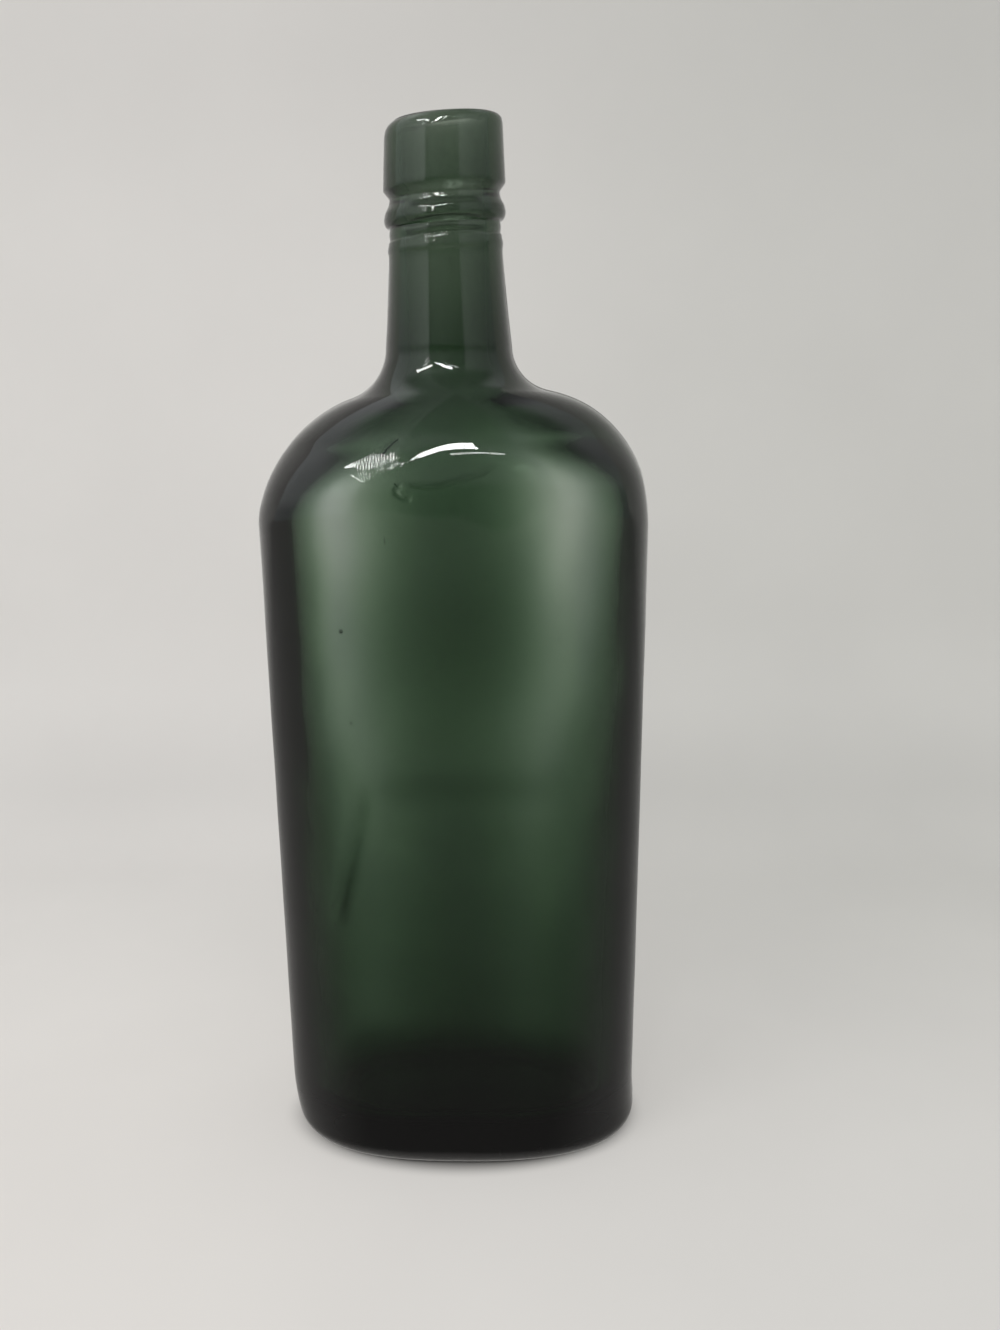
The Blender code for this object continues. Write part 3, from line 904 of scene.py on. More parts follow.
def lip_rings():
    """Up the outside of the lip, over the rim and into the mouth."""
    neck = NECK_END_RADIUS
    step_uneven = TOOL_UNEVEN * around(TOOL_WAVES)
    band_foot = (neck - BAND_INSET, seat_height + STEP_HEIGHT + step_uneven)
    band_top = (neck - BAND_INSET, seat_height + BAND_HEIGHT + step_uneven * BAND_TOP_UNEVEN_SHARE)
    ring = (band_foot[0] + BAND_RING_PROUD, (band_foot[1] + band_top[1]) / 2)
    bead_middle = band_top[1] + BEAD_FOOT_HEIGHT
    waist = (neck - WAIST_INSET, bead_middle + BEAD_SLOPE_HEIGHT)
    collar_foot = (neck + COLLAR_FOOT_PROUD, waist[1] + COLLAR_SLOPE_HEIGHT)
    rim = rim_height
    edge = RIM_RADIUS + RIM_SLUMP * slumped()
    rings = slope_rings((neck, seat_height + step_uneven), band_foot, STEP_RINGS)
    rings += slope_rings(band_foot, ring, HALF_BAND_RINGS) + slope_rings(ring, band_top, HALF_BAND_RINGS)
    rings += arc_rings(
        band_top[0], bead_middle, BAND_INSET + BEAD_PROUD, BEAD_FOOT_HEIGHT, -90, 0, BEAD_RINGS
    )
    rings += tooled_slope_rings((neck + BEAD_PROUD, bead_middle), waist, BEAD_STEEPNESS, BEAD_SLOPE_RINGS)
    rings += slope_rings(waist, collar_foot, COLLAR_SLOPE_RINGS)
    tilt = math.radians(FLAT_TILT)
    side_top = rim - edge - RIM_FLAT * math.cos(tilt)
    rim_radius = neck + COLLAR_TOP_PROUD - edge
    shares = np.linspace(0, 1, COLLAR_RINGS + 2)[1:-1]
    rings += rings_between(collar_foot, (neck + COLLAR_TOP_PROUD, side_top), shares, shares)
    rings += arc_rings(rim_radius, side_top, edge, edge, 0, FLAT_TILT, FLAT_RINGS)
    edge_middle = rim_radius - RIM_FLAT * math.sin(tilt)
    rings += arc_rings(edge_middle, rim - edge, edge, edge, FLAT_TILT, 90, EDGE_RINGS)
    inner = MOUTH_EDGE_RADIUS
    inner_middle = BORE_RADIUS + MOUTH_WIDENING + inner
    return rings + arc_rings(inner_middle, rim - inner, inner, inner, 90, 180, MOUTH_RINGS)


outside += neck_rings() + lip_rings()
print("rings outside, with the lip:", len(outside))

# %% [markdown]
# ## The inside
#
# This surface decides the colour. Dark green glass takes away about a quarter of the light for each
# millimetre, so the wall is read as a shade: pale where it was blown thin, near black where it is thick. The
# glass is thinnest high up, between the middle of each face and the narrow sides, where the bubble of glass
# stretched furthest to fill the mould. Its walls get thicker towards the base. The inside is therefore
# squarer than the outside at the top and nearly follows it at the bottom. A sculpted inside would do as well,
# but shares and heights can be read off the photograph's shades and tried again in seconds.

# %% Sizes of the inside
SIDE_WALL = 0.0070
FACE_WALL = 0.0049
FLOOR_HEIGHT = 0.0075
FLOOR_CROWN = 0.0022
FLOOR_CORNER_RADIUS = 0.0090
NECK_ROOT_WALL = NECK_ROOT_RADIUS - BORE_RADIUS
SHOULDER_SIDE_WALL = 0.0050
CHAMBER_SHIFT = 0.0009
CHAMBER_FOOT_SQUARENESS = 2.7
CHAMBER_TOP_SQUARENESS = 3.0
MIDDLE_THINNER = 0.0005
THICK_EXTRA = 0.0008
THICK_HEIGHT = 0.126
THICK_SPREAD = 0.016
FRONT_THICK_EXTRA = 0.0008
FRONT_THICK_HEIGHT = 0.0955
FRONT_THICK_SPREAD = 0.0040
FRONT_THICK_MIDDLE = 0.004
FRONT_THICK_REACH = 0.021
THIN_FOOT_AND_TOP = (0.0010, 0.0040)
RIGHT_THICKER_SHARE = 0.75
RIGHT_REACH_SHORTER = 0.16
PAST_REACH = 1.25
FOOT_RIGHT_SHARE = 0.4
FOOT_EXTRA = 0.0013
FOOT_SIDE_THINNER = 0.75
FOOT_EXTRA_SPAN = (0.095, 0.025)
THIN_SPAN = (0.072, 0.145)
THIN_REACH_SHARES = (0.62, 0.95)
THIN_END_SHARE = 0.35
RING_APART = 0.0002
BORE_STEPS = 40
WIDENING_SHARE = 0.5

# %% A wall that changes from place to place


def thinned(ring, over):
    """Moves a ring's faces outwards beside the thick middle. over is 0 on the wall and 1 at the neck."""
    x, y, z = ring.T
    widest = np.abs(x).max()
    climb = stepped(z, THIN_SPAN)
    right = np.clip(x / widest, 0, 1)
    reach = between(THIN_REACH_SHARES, climb) * (1 - RIGHT_REACH_SHORTER * (x > 0))
    aside = np.clip(np.abs(x) / (reach * widest), 0, PAST_REACH)
    thinning = between(THIN_FOOT_AND_TOP, climb) * np.sin(math.pi / 2 * aside) ** 2
    thinning = thinning * (1 - RIGHT_THICKER_SHARE * right**2)
    band = THICK_EXTRA * np.exp(-(((z - THICK_HEIGHT) / THICK_SPREAD) ** 2))
    front_away = ((z - FRONT_THICK_HEIGHT) / FRONT_THICK_SPREAD) ** 2
    front_away = front_away + ((x - FRONT_THICK_MIDDLE) / FRONT_THICK_REACH) ** 4
    band = band + FRONT_THICK_EXTRA * np.exp(-front_away) * (y < 0)
    foot = FOOT_EXTRA * stepped(z, FOOT_EXTRA_SPAN)
    foot = foot * (1 + FOOT_RIGHT_SHARE * right) * (1 - FOOT_SIDE_THINNER * (x / widest) ** 2)
    fade = 1 - stepped(over, (THIN_END_SHARE, 1))
    change = (thinning + MIDDLE_THINNER - band - foot) * fade
    shift = CHAMBER_SHIFT * climb * fade
    return np.stack([x + shift, y * (1 + change / np.abs(y).max()), z], axis=1)


# %% Inside rings


def bore_rings():
    """Down the mouth and the neck's bore to its root."""
    top = rim_height - MOUTH_EDGE_RADIUS
    shares = np.linspace(0, 1, BORE_STEPS)[1:]
    widening = MOUTH_WIDENING * (1 - ease(shares / WIDENING_SHARE))
    heights = top + (neck_root_height - top) * shares
    return [round_ring(BORE_RADIUS + wide, height) for wide, height in zip(widening, heights)]


def chamber_rings():
    """From the root of the bore, down the inside of the walls, to the floor."""
    foot_width, foot_depth = FOOT_WIDTH / 2 - SIDE_WALL, FOOT_DEPTH / 2 - FACE_WALL
    side = (
        foot_width,
        BODY_WIDTH / 2 - SHOULDER_SIDE_WALL,
        WALL_TOP_HEIGHT,
        SIDE_SHOULDER_RADIUS - SHOULDER_SIDE_WALL,
        SIDE_ROOT_RADIUS + NECK_ROOT_WALL,
    )
    face = (
        foot_depth,
        BODY_DEPTH / 2 - FACE_WALL,
        face_top_height,
        FACE_SHOULDER_RADIUS - FACE_WALL,
        FACE_ROOT_RADIUS + NECK_ROOT_WALL,
    )
    squareness = (CHAMBER_FOOT_SQUARENESS, CHAMBER_TOP_SQUARENESS)
    body = blown_rings(FLOOR_HEIGHT, FLOOR_CORNER_RADIUS, BORE_RADIUS, side, face, *squareness)
    wall_count = HEEL_STEPS + WALL_STEPS
    shoulder_count = len(body) - 1 - wall_count
    body = [thinned(ring, max(index - wall_count, 0) / shoulder_count) for index, ring in enumerate(body)]
    edges = (foot_width - FLOOR_CORNER_RADIUS, foot_depth - FLOOR_CORNER_RADIUS)
    floor = dome_rings(*edges, FLOOR_HEIGHT, FLOOR_CROWN, CHAMBER_FOOT_SQUARENESS)
    body = [ring for ring in body if ring[:, 2].max() < neck_root_height - RING_APART]
    return body[::-1] + floor[::-1]


inside = bore_rings() + chamber_rings()
print("rings inside:", len(inside))

# %% [markdown]
# ## The smooth skin
#
# The rings become one mesh. It is made smooth first, because the flaws of the glass are placed on it: a ray
# from the camera through a pixel of the photograph finds the point of the outside that the pixel shows, and a
# ray straight into the glass finds how thick the wall is there.

# %% Smooth skin


def skin_points():
    """All rings in one array, in order from the push-up over the lip to the floor, put crooked."""
    rings = np.array(outside + inside)
    return np.stack(crooked(rings[..., 0], rings[..., 1], rings[..., 2]), axis=-1).reshape(-1, 3)


def skin_faces(ring_count):
    """Quads between neighbouring rings, and a fan at each end."""
    count = len(turns)
    here = np.arange(count)
    after = (here + 1) % count
    rows = np.arange(ring_count - 1)[:, None] * count
    quads = np.stack([rows + here, rows + after, rows + count + after, rows + count + here], axis=-1)
    first, last = ring_count * count, ring_count * count + 1
    end = (ring_count - 1) * count
    fans = [(first, b, a) for a, b in zip(here, after)]
    fans += [(last, end + a, end + b) for a, b in zip(here, after)]
    return quads.reshape(-1, 4).tolist() + [tuple(int(corner) for corner in fan) for fan in fans]


outside_count = len(outside) * len(turns)
poles = np.array([(0, 0, PUSH_UP_HEIGHT), (0, 0, FLOOR_HEIGHT + FLOOR_CROWN)])
smooth_points = np.concatenate([skin_points(), poles])
skin_mesh = bpy.data.meshes.new("bottle_glass")
skin_mesh.from_pydata(smooth_points.tolist(), [], skin_faces(len(outside) + len(inside)))
skin_mesh.update()
skin = bpy.data.objects.new("bottle_glass", skin_mesh)
scene.collection.objects.link(skin)
bpy.context.view_layer.update()
finder = BVHTree.FromObject(skin, bpy.context.evaluated_depsgraph_get())
ways_out = np.empty(len(smooth_points) * 3)
skin_mesh.vertex_normals.foreach_get("vector", ways_out)
ways_out = ways_out.reshape(-1, 3)
print("skin:", len(skin_mesh.vertices), "points,", len(skin_mesh.polygons), "faces")


def seen_on_glass(pixel):
    """The point of the outside that a pixel of the photograph shows, and the way out of the glass there."""
    hit, way_out, _, _ = finder.ray_cast(*ray_through(pixel))
    return hit, way_out


# %% [markdown]
# ## Lumps
#
# Nothing blown in an iron mould is quite even. The cold iron leaves the outside faintly lumpy, which bends
# the edges of what it mirrors. The inside never touched anything and is lumpier, which shades the light that
# comes through. A noise texture in a Displace modifier would do it, but a few sums of sines do it faster, and
# the two surfaces can have their own strengths.

# %% Lumps
LUMP_LENGTH = 0.034
LUMP_WAVES = (
    ((1.0, 0.2, 0.5), 0.30, 0.3),
    ((-0.6, 1.1, 0.7), 0.25, 1.9),
    ((0.4, -0.7, 1.6), 0.20, 4.0),
    ((1.9, 1.2, -0.8), 0.14, 5.2),
    ((-1.5, 2.3, 1.4), 0.11, 2.6),
)
OUTSIDE_LUMPS = 0.00006
INSIDE_LUMPS = 0.00014
LUMP_FREE_HEIGHT = 0.004
NECK_LUMPS_SHARE = 0.4


def lumps(points):
    """A smooth uneven value at each point, between -1 and 1."""
    value = np.zeros(len(points))
    for direction, share, start in LUMP_WAVES:
        value += share * np.sin(points @ np.array(direction) * 2 * math.pi / LUMP_LENGTH + start)
    return value


is_outside = np.arange(len(smooth_points)) < outside_count
strength = np.where(is_outside, OUTSIDE_LUMPS, INSIDE_LUMPS)
strength *= ease(smooth_points[:, 2] / LUMP_FREE_HEIGHT)
strength *= np.where(smooth_points[:, 2] > neck_root_height, NECK_LUMPS_SHARE, 1)
moves = lumps(smooth_points) * strength
print("lumps, mm:", round(float(moves.min()) * 1000, 3), "to", round(float(moves.max()) * 1000, 3))

# %% [markdown]
# ## Folds and a cord
#
# Where the glass met the cold mould late, it folded over itself. The folds are soft curved ridges round the
# highlight on the shoulder, most of them on the inside of the wall. Lower on the left, a thicker cord of
# glass runs down the inside of the front as a soft dark streak. The thick band that crosses the front behind
# it is already in the rings of the inside.
#
# Each is drawn as a few points over the photograph, which a ray drops onto the glass. For a line on the
# inside the ray is bent as it enters the glass, so that the line is seen through the wall where the points
# are. Every point of the skin then moves by a profile of its distance to the line. This needs no sculpting,
# and stays sharp however the light falls.

# %% Lines on the glass
MAIN_FOLD_PIXELS = (
    (402, 479), (409, 484), (421, 486.5), (434, 487.4), (444, 485), (456, 480.7), (471, 477.9), (501, 463),
)
UPPER_FOLD_PIXELS = ((378.6, 457), (385, 447.9), (392, 441), (399.3, 436.4))
LOOP_FOLD_PIXELS = ((403, 484), (396, 488.5), (396, 493), (399, 497), (405, 499.3), (413, 499.6))
TAIL_FOLD_PIXELS = ((384, 471), (392, 469.5), (401, 467.5), (407, 462), (414, 459.5))
RIPPLE_FOLD_PIXELS = ((428, 462), (433, 460.5), (440, 462.5), (431, 463.5))
CORD_PIXELS = ((367, 785), (360, 815), (352, 850), (343, 890), (334, 934))
CORD_END_PIXELS = ((347, 868), (341, 895), (336, 918), (334, 934))
# Pixels, height into the hollow in metres, half width in metres.
INSIDE_LINES = (
    (MAIN_FOLD_PIXELS, 0.00044, 0.00058),
    (UPPER_FOLD_PIXELS, 0.00042, 0.00042),
    (LOOP_FOLD_PIXELS, 0.00042, 0.00046),
    (CORD_PIXELS, 0.00070, 0.0021),
    (CORD_END_PIXELS, 0.00014, 0.00080),
)
# Pixels, height above the outside in metres, half width in metres.
OUTSIDE_LINES = (
    (TAIL_FOLD_PIXELS, 0.00006, 0.00035),
    (RIPPLE_FOLD_PIXELS, -0.00004, 0.00028),
)
FOLD_FADE_SHARE = 0.18
CORNER_CUT = 0.25
CORNER_CUTS = 2
LINE_REACH = 4
GLASS_INDEX = 1.52
# How far below the outside a ray starts, so that it does not meet the outside again.
LINE_START = 0.0001
SEED_START = 0.00001

# %% Helpers for lines


def distance_to_line(points, line):
    """For each point, its distance to a row of straight pieces and the share of the row's length there."""
    lengths = [np.linalg.norm(end - start) for start, end in zip(line, line[1:])]
    nearest = np.full(len(points), np.inf)
    share = np.zeros(len(points))
    covered = 0.0
    for start, end, length in zip(line, line[1:], lengths):
        along = np.clip((points - start) @ (end - start) / length**2, 0, 1)
        away = np.linalg.norm(points - (start + along[:, None] * (end - start)), axis=1)
        closer = away < nearest
        nearest = np.where(closer, away, nearest)
        share = np.where(closer, (covered + along * length) / sum(lengths), share)
        covered += length
    return nearest, share


def smoothed(line):
    """The line with its corners cut twice, so that a few listed points make a curve."""
    for _ in range(CORNER_CUTS):
        cut = [line[0]]
        for start, end in zip(line, line[1:]):
            cut += [start * (1 - CORNER_CUT) + end * CORNER_CUT, start * CORNER_CUT + end * (1 - CORNER_CUT)]
        line = cut + [line[-1]]
    return line


def faded(share):
    """1 along a line, easing to 0 at its ends."""
    return ease(np.minimum(share, 1 - share) / FOLD_FADE_SHARE)


def seen_inside(pixel):
    """The point of the inside that a pixel shows through the front wall."""
    outer, way_out = seen_on_glass(pixel)
    way = ray_through(pixel)[1]
    entering = -way.dot(way_out)
    left = math.sqrt(1 - (1 - entering**2) / GLASS_INDEX**2)
    bent = way / GLASS_INDEX + (entering / GLASS_INDEX - left) * way_out
    return finder.ray_cast(outer - way_out * LINE_START, bent)


def line_through(pixels, surface):
    """A curve on one surface of the glass, where the photograph shows these pixels."""
    return smoothed([np.array(surface(pixel)[0]) for pixel in pixels])


# %% Lines raised on the skin


def raise_line(line, chosen, height, half_width):
    """Raises a rounded ridge along a line, on the chosen points of the skin near it."""
    reach = LINE_REACH * half_width
    low, high = np.min(line, axis=0) - reach, np.max(line, axis=0) + reach
    chosen = chosen[np.all((smooth_points[chosen] > low) & (smooth_points[chosen] < high), axis=1)]
    away, share = distance_to_line(smooth_points[chosen], line)
    moves[chosen] += height * faded(share) * np.exp(-((away / half_width) ** 2))
    length = sum(np.linalg.norm(end - start) for start, end in zip(line, line[1:]))
    print("line of", round(length * 1000, 1), "mm over", len(chosen), "points")


outer_points, inner_points = np.flatnonzero(is_outside), np.flatnonzero(~is_outside)
for pixels, height, half_width in INSIDE_LINES:
    raise_line(line_through(pixels, seen_inside), inner_points, height, half_width)
for pixels, height, half_width in OUTSIDE_LINES:
    raise_line(line_through(pixels, seen_on_glass), outer_points, height, half_width)

# %% [markdown]
# ## Mould seams
#
# The bottle was blown in a mould of two halves, so a faint seam runs up each narrow side, over the shoulder
# and up the neck. It dies out below the lip, which was tooled after the mould was opened. On such a bottle
# the seam is a low rounded ridge that wanders a little. It could be a bump, but as a real ridge it also
# shows in the outline.

# %% Mould seams
SEAM_HEIGHT = 0.00013
SEAM_HALF_WIDTH = 0.00035
SEAM_WANDER = 0.00025
SEAM_WANDER_LENGTH = 0.031
SEAM_FADE = 0.012
SEAM_START = HEEL_RADIUS / 2

heights = smooth_points[:, 2]
wander = SEAM_WANDER * np.sin(2 * math.pi * heights / SEAM_WANDER_LENGTH)
seam = np.exp(-(((smooth_points[:, 1] - wander) / SEAM_HALF_WIDTH) ** 2))
seam *= is_outside * (heights > SEAM_START) * (1 - ease((heights - seat_height + SEAM_FADE) / SEAM_FADE))
moves += SEAM_HEIGHT * seam
print("points on the seams:", int((seam > 0.5).sum()))

# %% [markdown]
# ## Seeds
#
# Seeds are gas bubbles that the melt never let go. Each is a small closed hollow inside the wall, drawn out
# along the way the glass was stretched. They are real hollows in the mesh, faced the other way round, so
# they bend light as bubbles do. A few lie where the photograph shows them, and the rest are scattered by a
# seeded choice, so that every view has some.

# %% Seeds
# Pixels, radius in metres, stretch up the bottle.
SEEN_SEEDS = (
    ((340, 632), 0.00042, 1.2),
    ((466, 519), 0.00018, 1.4),
    ((450, 259), 0.00016, 3.8),
    ((475, 217), 0.00018, 1.0),
    ((394, 484), 0.00020, 1.2),
    ((454, 466), 0.00010, 7.0),
    ((420, 576), 0.00012, 5.0),
    ((428, 545), 0.00011, 9.0),
    ((350, 724), 0.00020, 2.0),
    ((560, 640), 0.00016, 1.6),
    ((331, 907), 0.00022, 1.3),
    ((333, 926), 0.00030, 1.4),
)
SCATTERED_SEEDS = 46
SCATTERED_RADII = (0.00010, 0.00026)
SCATTERED_HEIGHTS = (0.020, 0.205)
SEED_DEPTH_SHARE = 0.45
SEED_FILL_SHARE = 0.30
SEED_COVER_SHARE = 1.5
LONGER_SEEDS = 3
SEED_CHOICE = 7
seed_shape = bmesh.new()


def add_seed(place, way_out, radius, stretch):
    """A closed hollow in the wall under a point of the outside, no larger than the wall can hold."""
    inner, _, _, wall = finder.ray_cast(place - way_out * SEED_START, -way_out)
    if inner is None:
        return
    size = min(radius, wall * SEED_FILL_SHARE)
    centre = place - way_out * max(wall * SEED_DEPTH_SHARE, size * SEED_COVER_SHARE)
    turn = way_out.to_track_quat("Y", "Z").to_matrix().to_4x4()
    scale = Matrix.Diagonal((size, size, size * stretch, 1))
    matrix = Matrix.Translation(centre) @ turn @ scale
    made = bmesh.ops.create_icosphere(seed_shape, subdivisions=2, radius=1, matrix=matrix)
    faces = {face for vert in made["verts"] for face in vert.link_faces}
    bmesh.ops.reverse_faces(seed_shape, faces=list(faces))


for pixel, radius, stretch in SEEN_SEEDS:
    add_seed(*seen_on_glass(pixel), radius, stretch)

chance = np.random.default_rng(SEED_CHOICE)
for _ in range(SCATTERED_SEEDS):
    turn_share, height_share, size_share, long_share = chance.random(4)
    height = between(SCATTERED_HEIGHTS, height_share)
    angle = 2 * math.pi * turn_share
    outward = Vector((math.cos(angle), math.sin(angle), 0))
    start = outward * BODY_WIDTH + Vector((0, 0, height))
    hit, way_out, _, _ = finder.ray_cast(start, -outward)
    radius = between(SCATTERED_RADII, size_share**2)
    add_seed(hit, way_out, radius, 1 + LONGER_SEEDS * long_share**3)
print("points in the seeds:", len(seed_shape.verts))

# %% [markdown]
# ## The finished skin
#
# All the moves so far are along the way out of the smooth surface, so they are added up and made once. The
# seeds join the same mesh: as a second object they would be a second glass inside the first. A mark on the
# points of the inside lets the finish tell the two surfaces apart.

# %% Finished skin


def finish_skin():
    """Moves the smooth skin by all its flaws, and adds the seeds to the same mesh."""
    moved = smooth_points + ways_out * moves[:, None]
    skin_mesh.vertices.foreach_set("co", moved.ravel())
    mark = skin_mesh.attributes.new("inside", "FLOAT", "POINT")
    mark.data.foreach_set("value", (~is_outside).astype(np.float32))
    whole = bmesh.new()
    whole.from_mesh(skin_mesh)
    seeds = bpy.data.meshes.new("seeds")
    seed_shape.to_mesh(seeds)
    whole.from_mesh(seeds)
    whole.to_mesh(skin_mesh)
    whole.free()
    seed_shape.free()
    bpy.data.meshes.remove(seeds)
    skin_mesh.update()
    skin_mesh.shade_smooth()


finish_skin()
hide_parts("bottle_body", "applied_lip")
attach(skin, "root")
print("finished skin:", len(skin_mesh.vertices), "points")

# %% [markdown]
# ## The finish of the glass
#
# The colour of thick glass belongs inside it, so it is a volume that takes light away by the millimetre: more
# of the red and the blue than of the green. What the surface adds is small. Painted maps could hold it, but
# noises of the place on the bottle need no unwrapping. Three things are worked out in one node group:
#
# - a height, for the faint ripple that the mould left, for the uneven press of the tool round the lip, for
#   fine ribs where a fold of the cooling skin was drawn together on the left of the shoulder, and for short
#   scratches up and down the bottle;
# - a roughness, low where the glass kept its fire polish, higher on the ring that the bottle stands on and in
#   patches where such bottles rubbed together on a shelf, and even all over the inside, which never got a
#   fire polish;
# - a tint, for streaks where the melt was not quite mixed, and for a thin film on the neck.

# %% Surface of old glass: the heights
RIPPLE_SIZE = 0.0055
RIPPLE_HEIGHT = 0.004
RIPPLE_FLATTER = 1.7
RIPPLE_DETAIL = 1.5
SCRATCH_WIDTH = 0.0007
SCRATCH_LENGTH = 0.011
SCRATCH_EDGE = (0.66, 0.74)
SCRATCH_DEPTH = 0.0015
SCRATCH_DRUM = 0.035
CHATTER_SIZE = 0.0010
CHATTER_HEIGHT = 0.016
CHATTER_FOOT = (0.2135, 0.2150)
CHATTER_TOP = (0.2295, 0.2275)
RIB_LENGTH = 0.00062
RIB_HEIGHT = 0.012
RIB_PIXEL = (376, 456)
RIB_REACH = 0.0062
RIB_FULL_SHARE = 0.6
RIB_UNEVEN = {"Distortion": 1.6, "Detail": 1, "Detail Scale": 0.5}
# One wave of the texture at a scale of 1 is 2 pi / 20 long.
WAVE_SCALE = 2 * math.pi / 20


def ripple_height(tree, place):
    """The mould's faint ripple, in millimetres."""
    flat = vector_maths(tree, "MULTIPLY", place, (1, 1, RIPPLE_FLATTER))
    return maths(tree, "MULTIPLY", noise(tree, flat, 1 / RIPPLE_SIZE, RIPPLE_DETAIL), RIPPLE_HEIGHT)


def chatter_height(tree, place, up):
    """The uneven press of the tool round the rings of the lip, in millimetres."""
    on_lip = maths(tree, "MULTIPLY", eased(tree, up, CHATTER_FOOT), eased(tree, up, CHATTER_TOP))
    return maths(tree, "MULTIPLY", noise(tree, place, 1 / CHATTER_SIZE, 0), CHATTER_HEIGHT, on_lip)


def rib_height(tree, place):
    """Fine ribs in a round patch of the shoulder, in millimetres."""
    centre = seen_on_glass(RIB_PIXEL)[0]
    away = vector_maths(tree, "DISTANCE", place, centre, result="Value")
    patch = eased(tree, away, (RIB_REACH, RIB_REACH * RIB_FULL_SHARE))
    given = {"Vector": place, "Scale": WAVE_SCALE / RIB_LENGTH, **RIB_UNEVEN}
    ribs = add_node(tree, "ShaderNodeTexWave", given, wave_type="BANDS", bands_direction="X")
    return maths(tree, "MULTIPLY", ribs.outputs["Fac"], RIB_HEIGHT, patch)


def scratches(tree, place):
    """Sparse short scratches up and down the bottle, drawn as if on a drum: 1 on a scratch, 0 off it."""
    outward = vector_maths(tree, "NORMALIZE", vector_maths(tree, "MULTIPLY", place, (1, 1, 0)))
    up = vector_maths(tree, "MULTIPLY", place, (0, 0, 1 / SCRATCH_LENGTH))
    drum = SCRATCH_DRUM / SCRATCH_WIDTH
    drawn = vector_maths(tree, "MULTIPLY_ADD", outward, (drum, drum, 0), up)
    return eased(tree, noise(tree, drawn, 1, 0), SCRATCH_EDGE)


# %% [markdown]
# The heights come together with the roughness and the tint. The inside's roughness stays nearly even: where
# it changes much from place to place, the picture shows the edges of the change as fine curls.

# %% Surface of old glass: a node group
STREAK_SIZE = 0.016
STREAK_TALLER = 0.35
STREAK_EDGE = (0.42, 0.68)
STREAK_TINT = (0.96, 0.94, 0.99, 1)
FILM_HEIGHTS = (0.172, 0.200)
FILM_TINT = (1.0, 0.92, 0.98, 1)
WEAR_HEIGHTS = (0.0016, 0.0)
RUB_HEIGHT = 0.148
RUB_REACH = 0.010
RUB_SHARE = 0.35
SCRATCH_SHARE = 0.25
PATCH_SCALE = 140
PATCH_DETAIL = 2
PATCH_EDGE = (0.48, 0.64)
CLOUD_SCALE = 60
BLOOM_ROUGHNESS = (0.19, 0.235)


def surface_roughness(tree, given, up, patchy, scratched):
    """Fire polish and wear on the outside, and an even bloom on the inside."""
    standing = eased(tree, up, WEAR_HEIGHTS)
    from_rub = maths(tree, "ABSOLUTE", maths(tree, "SUBTRACT", up, RUB_HEIGHT))
    rubbed = maths(tree, "MULTIPLY", eased(tree, from_rub, (RUB_REACH, 0)), patchy, RUB_SHARE)
    wear = maths(tree, "ADD", maths(tree, "MAXIMUM", standing, rubbed), scratched)
    outer_only = maths(tree, "SUBTRACT", 1, given["Inside"])
    wear = maths(tree, "MULTIPLY", wear, given["Wear"], outer_only)
    cloud = noise(tree, given["Place"], CLOUD_SCALE, 1)
    polish = maths(tree, "MULTIPLY", maths(tree, "ADD", cloud, cloud), given["Polish"])
    bloom = eased(tree, cloud, NOISE_SPAN, BLOOM_ROUGHNESS, "LINEAR")
    return maths(tree, "ADD", polish, wear, maths(tree, "MULTIPLY", bloom, given["Inside"]))


def surface_tint(tree, place, up):
    """Streaks of the melt, and the film on the neck."""
    streaked = vector_maths(tree, "MULTIPLY", place, (1, 1, STREAK_TALLER))
    streak = eased(tree, noise(tree, streaked, 1 / STREAK_SIZE, 1), STREAK_EDGE)
    tint = mixed(tree, streak, PLAIN_WHITE, STREAK_TINT, "RGBA")
    return mixed(tree, eased(tree, up, FILM_HEIGHTS), tint, FILM_TINT, "RGBA")


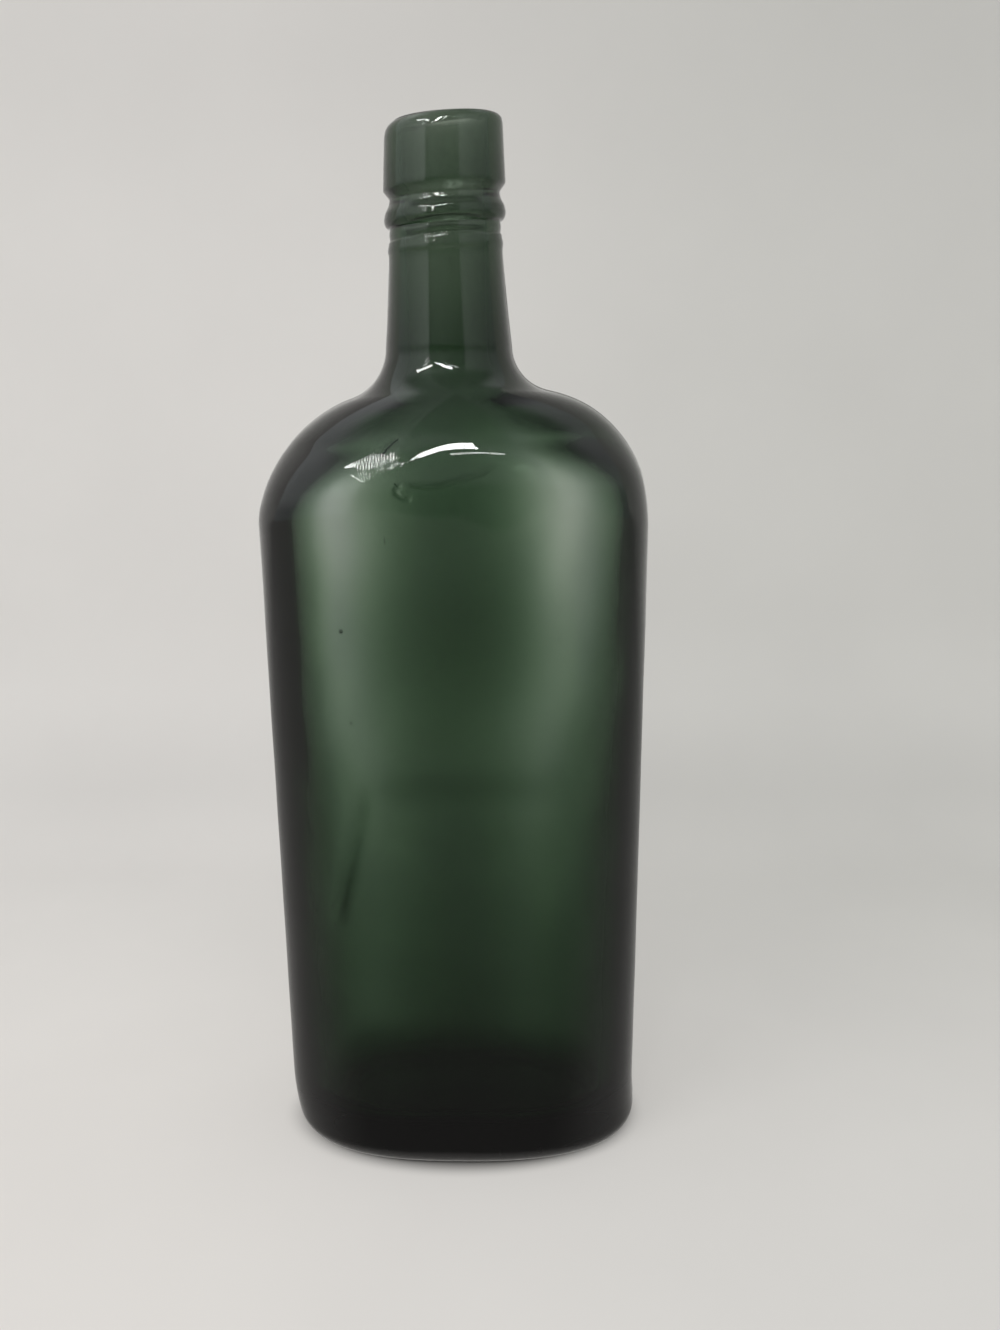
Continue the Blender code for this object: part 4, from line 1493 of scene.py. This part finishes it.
def make_surface_group():
    tree, given = group_with(
        "old_glass_surface",
        {"Place": "Vector", "Inside": "Float", "Polish": "Float", "Wear": "Float"},
        {"Roughness": "Float", "Height": "Float", "Tint": "Color"},
    )
    given = given.outputs
    place = given["Place"]
    up = apart(tree, place)[2]
    patchy = eased(tree, noise(tree, place, PATCH_SCALE, PATCH_DETAIL), PATCH_EDGE)
    scratched = maths(tree, "MULTIPLY", scratches(tree, place), patchy, SCRATCH_SHARE)
    heights = [ripple_height(tree, place), rib_height(tree, place), chatter_height(tree, place, up)]
    height = maths(tree, "ADD", *heights, maths(tree, "MULTIPLY", scratched, -SCRATCH_DEPTH))
    made = {
        "Roughness": surface_roughness(tree, given, up, patchy, scratched),
        "Height": height,
        "Tint": surface_tint(tree, place, up),
    }
    add_node(tree, "NodeGroupOutput", made)
    return tree


surface_group = make_surface_group()
print("nodes in the surface group:", len(surface_group.nodes))

# %% [markdown]
# ## The glass
#
# The glass itself is a Principled shader with full transmission. A mix of a glass and a glossy shader would
# do, but this one keeps index, roughness and tint together. Its index is that of bottle glass, and the volume
# is a plain absorption: on average a quarter of the green light goes with each millimetre.

# %% Glass material
ABSORPTION_DENSITY = 440
ABSORPTION_COLOUR = (0.190, 0.375, 0.200, 1)
FIRE_POLISH = 0.020
STANDING_WEAR = 0.35
MILLIMETRE = 0.001


def make_glass():
    material, tree = new_material("dark_green_bottle_glass")
    place = add_node(tree, "ShaderNodeTexCoord").outputs["Object"]
    inside_mark = add_node(tree, "ShaderNodeAttribute", attribute_name="inside").outputs["Fac"]
    surface = add_node(tree, "ShaderNodeGroup", node_tree=surface_group)
    tree.links.new(place, surface.inputs["Place"])
    tree.links.new(inside_mark, surface.inputs["Inside"])
    surface.inputs["Polish"].default_value = FIRE_POLISH
    surface.inputs["Wear"].default_value = STANDING_WEAR
    bump = add_node(
        tree, "ShaderNodeBump", {"Height": surface.outputs["Height"], "Strength": 1, "Distance": MILLIMETRE}
    )
    shader = add_node(tree, "ShaderNodeBsdfPrincipled", {
        "Base Color": surface.outputs["Tint"],
        "Roughness": surface.outputs["Roughness"],
        "Normal": bump.outputs["Normal"],
        "Metallic": 0,
        "IOR": GLASS_INDEX,
        "Transmission Weight": 1,
    })
    volume = add_node(
        tree, "ShaderNodeVolumeAbsorption", {"Color": ABSORPTION_COLOUR, "Density": ABSORPTION_DENSITY}
    )
    made = {"Surface": shader.outputs["BSDF"], "Volume": volume.outputs["Volume"]}
    add_node(tree, "ShaderNodeOutputMaterial", made)
    return material


skin_mesh.materials.append(make_glass())
print("material of the skin:", skin_mesh.materials[0].name)
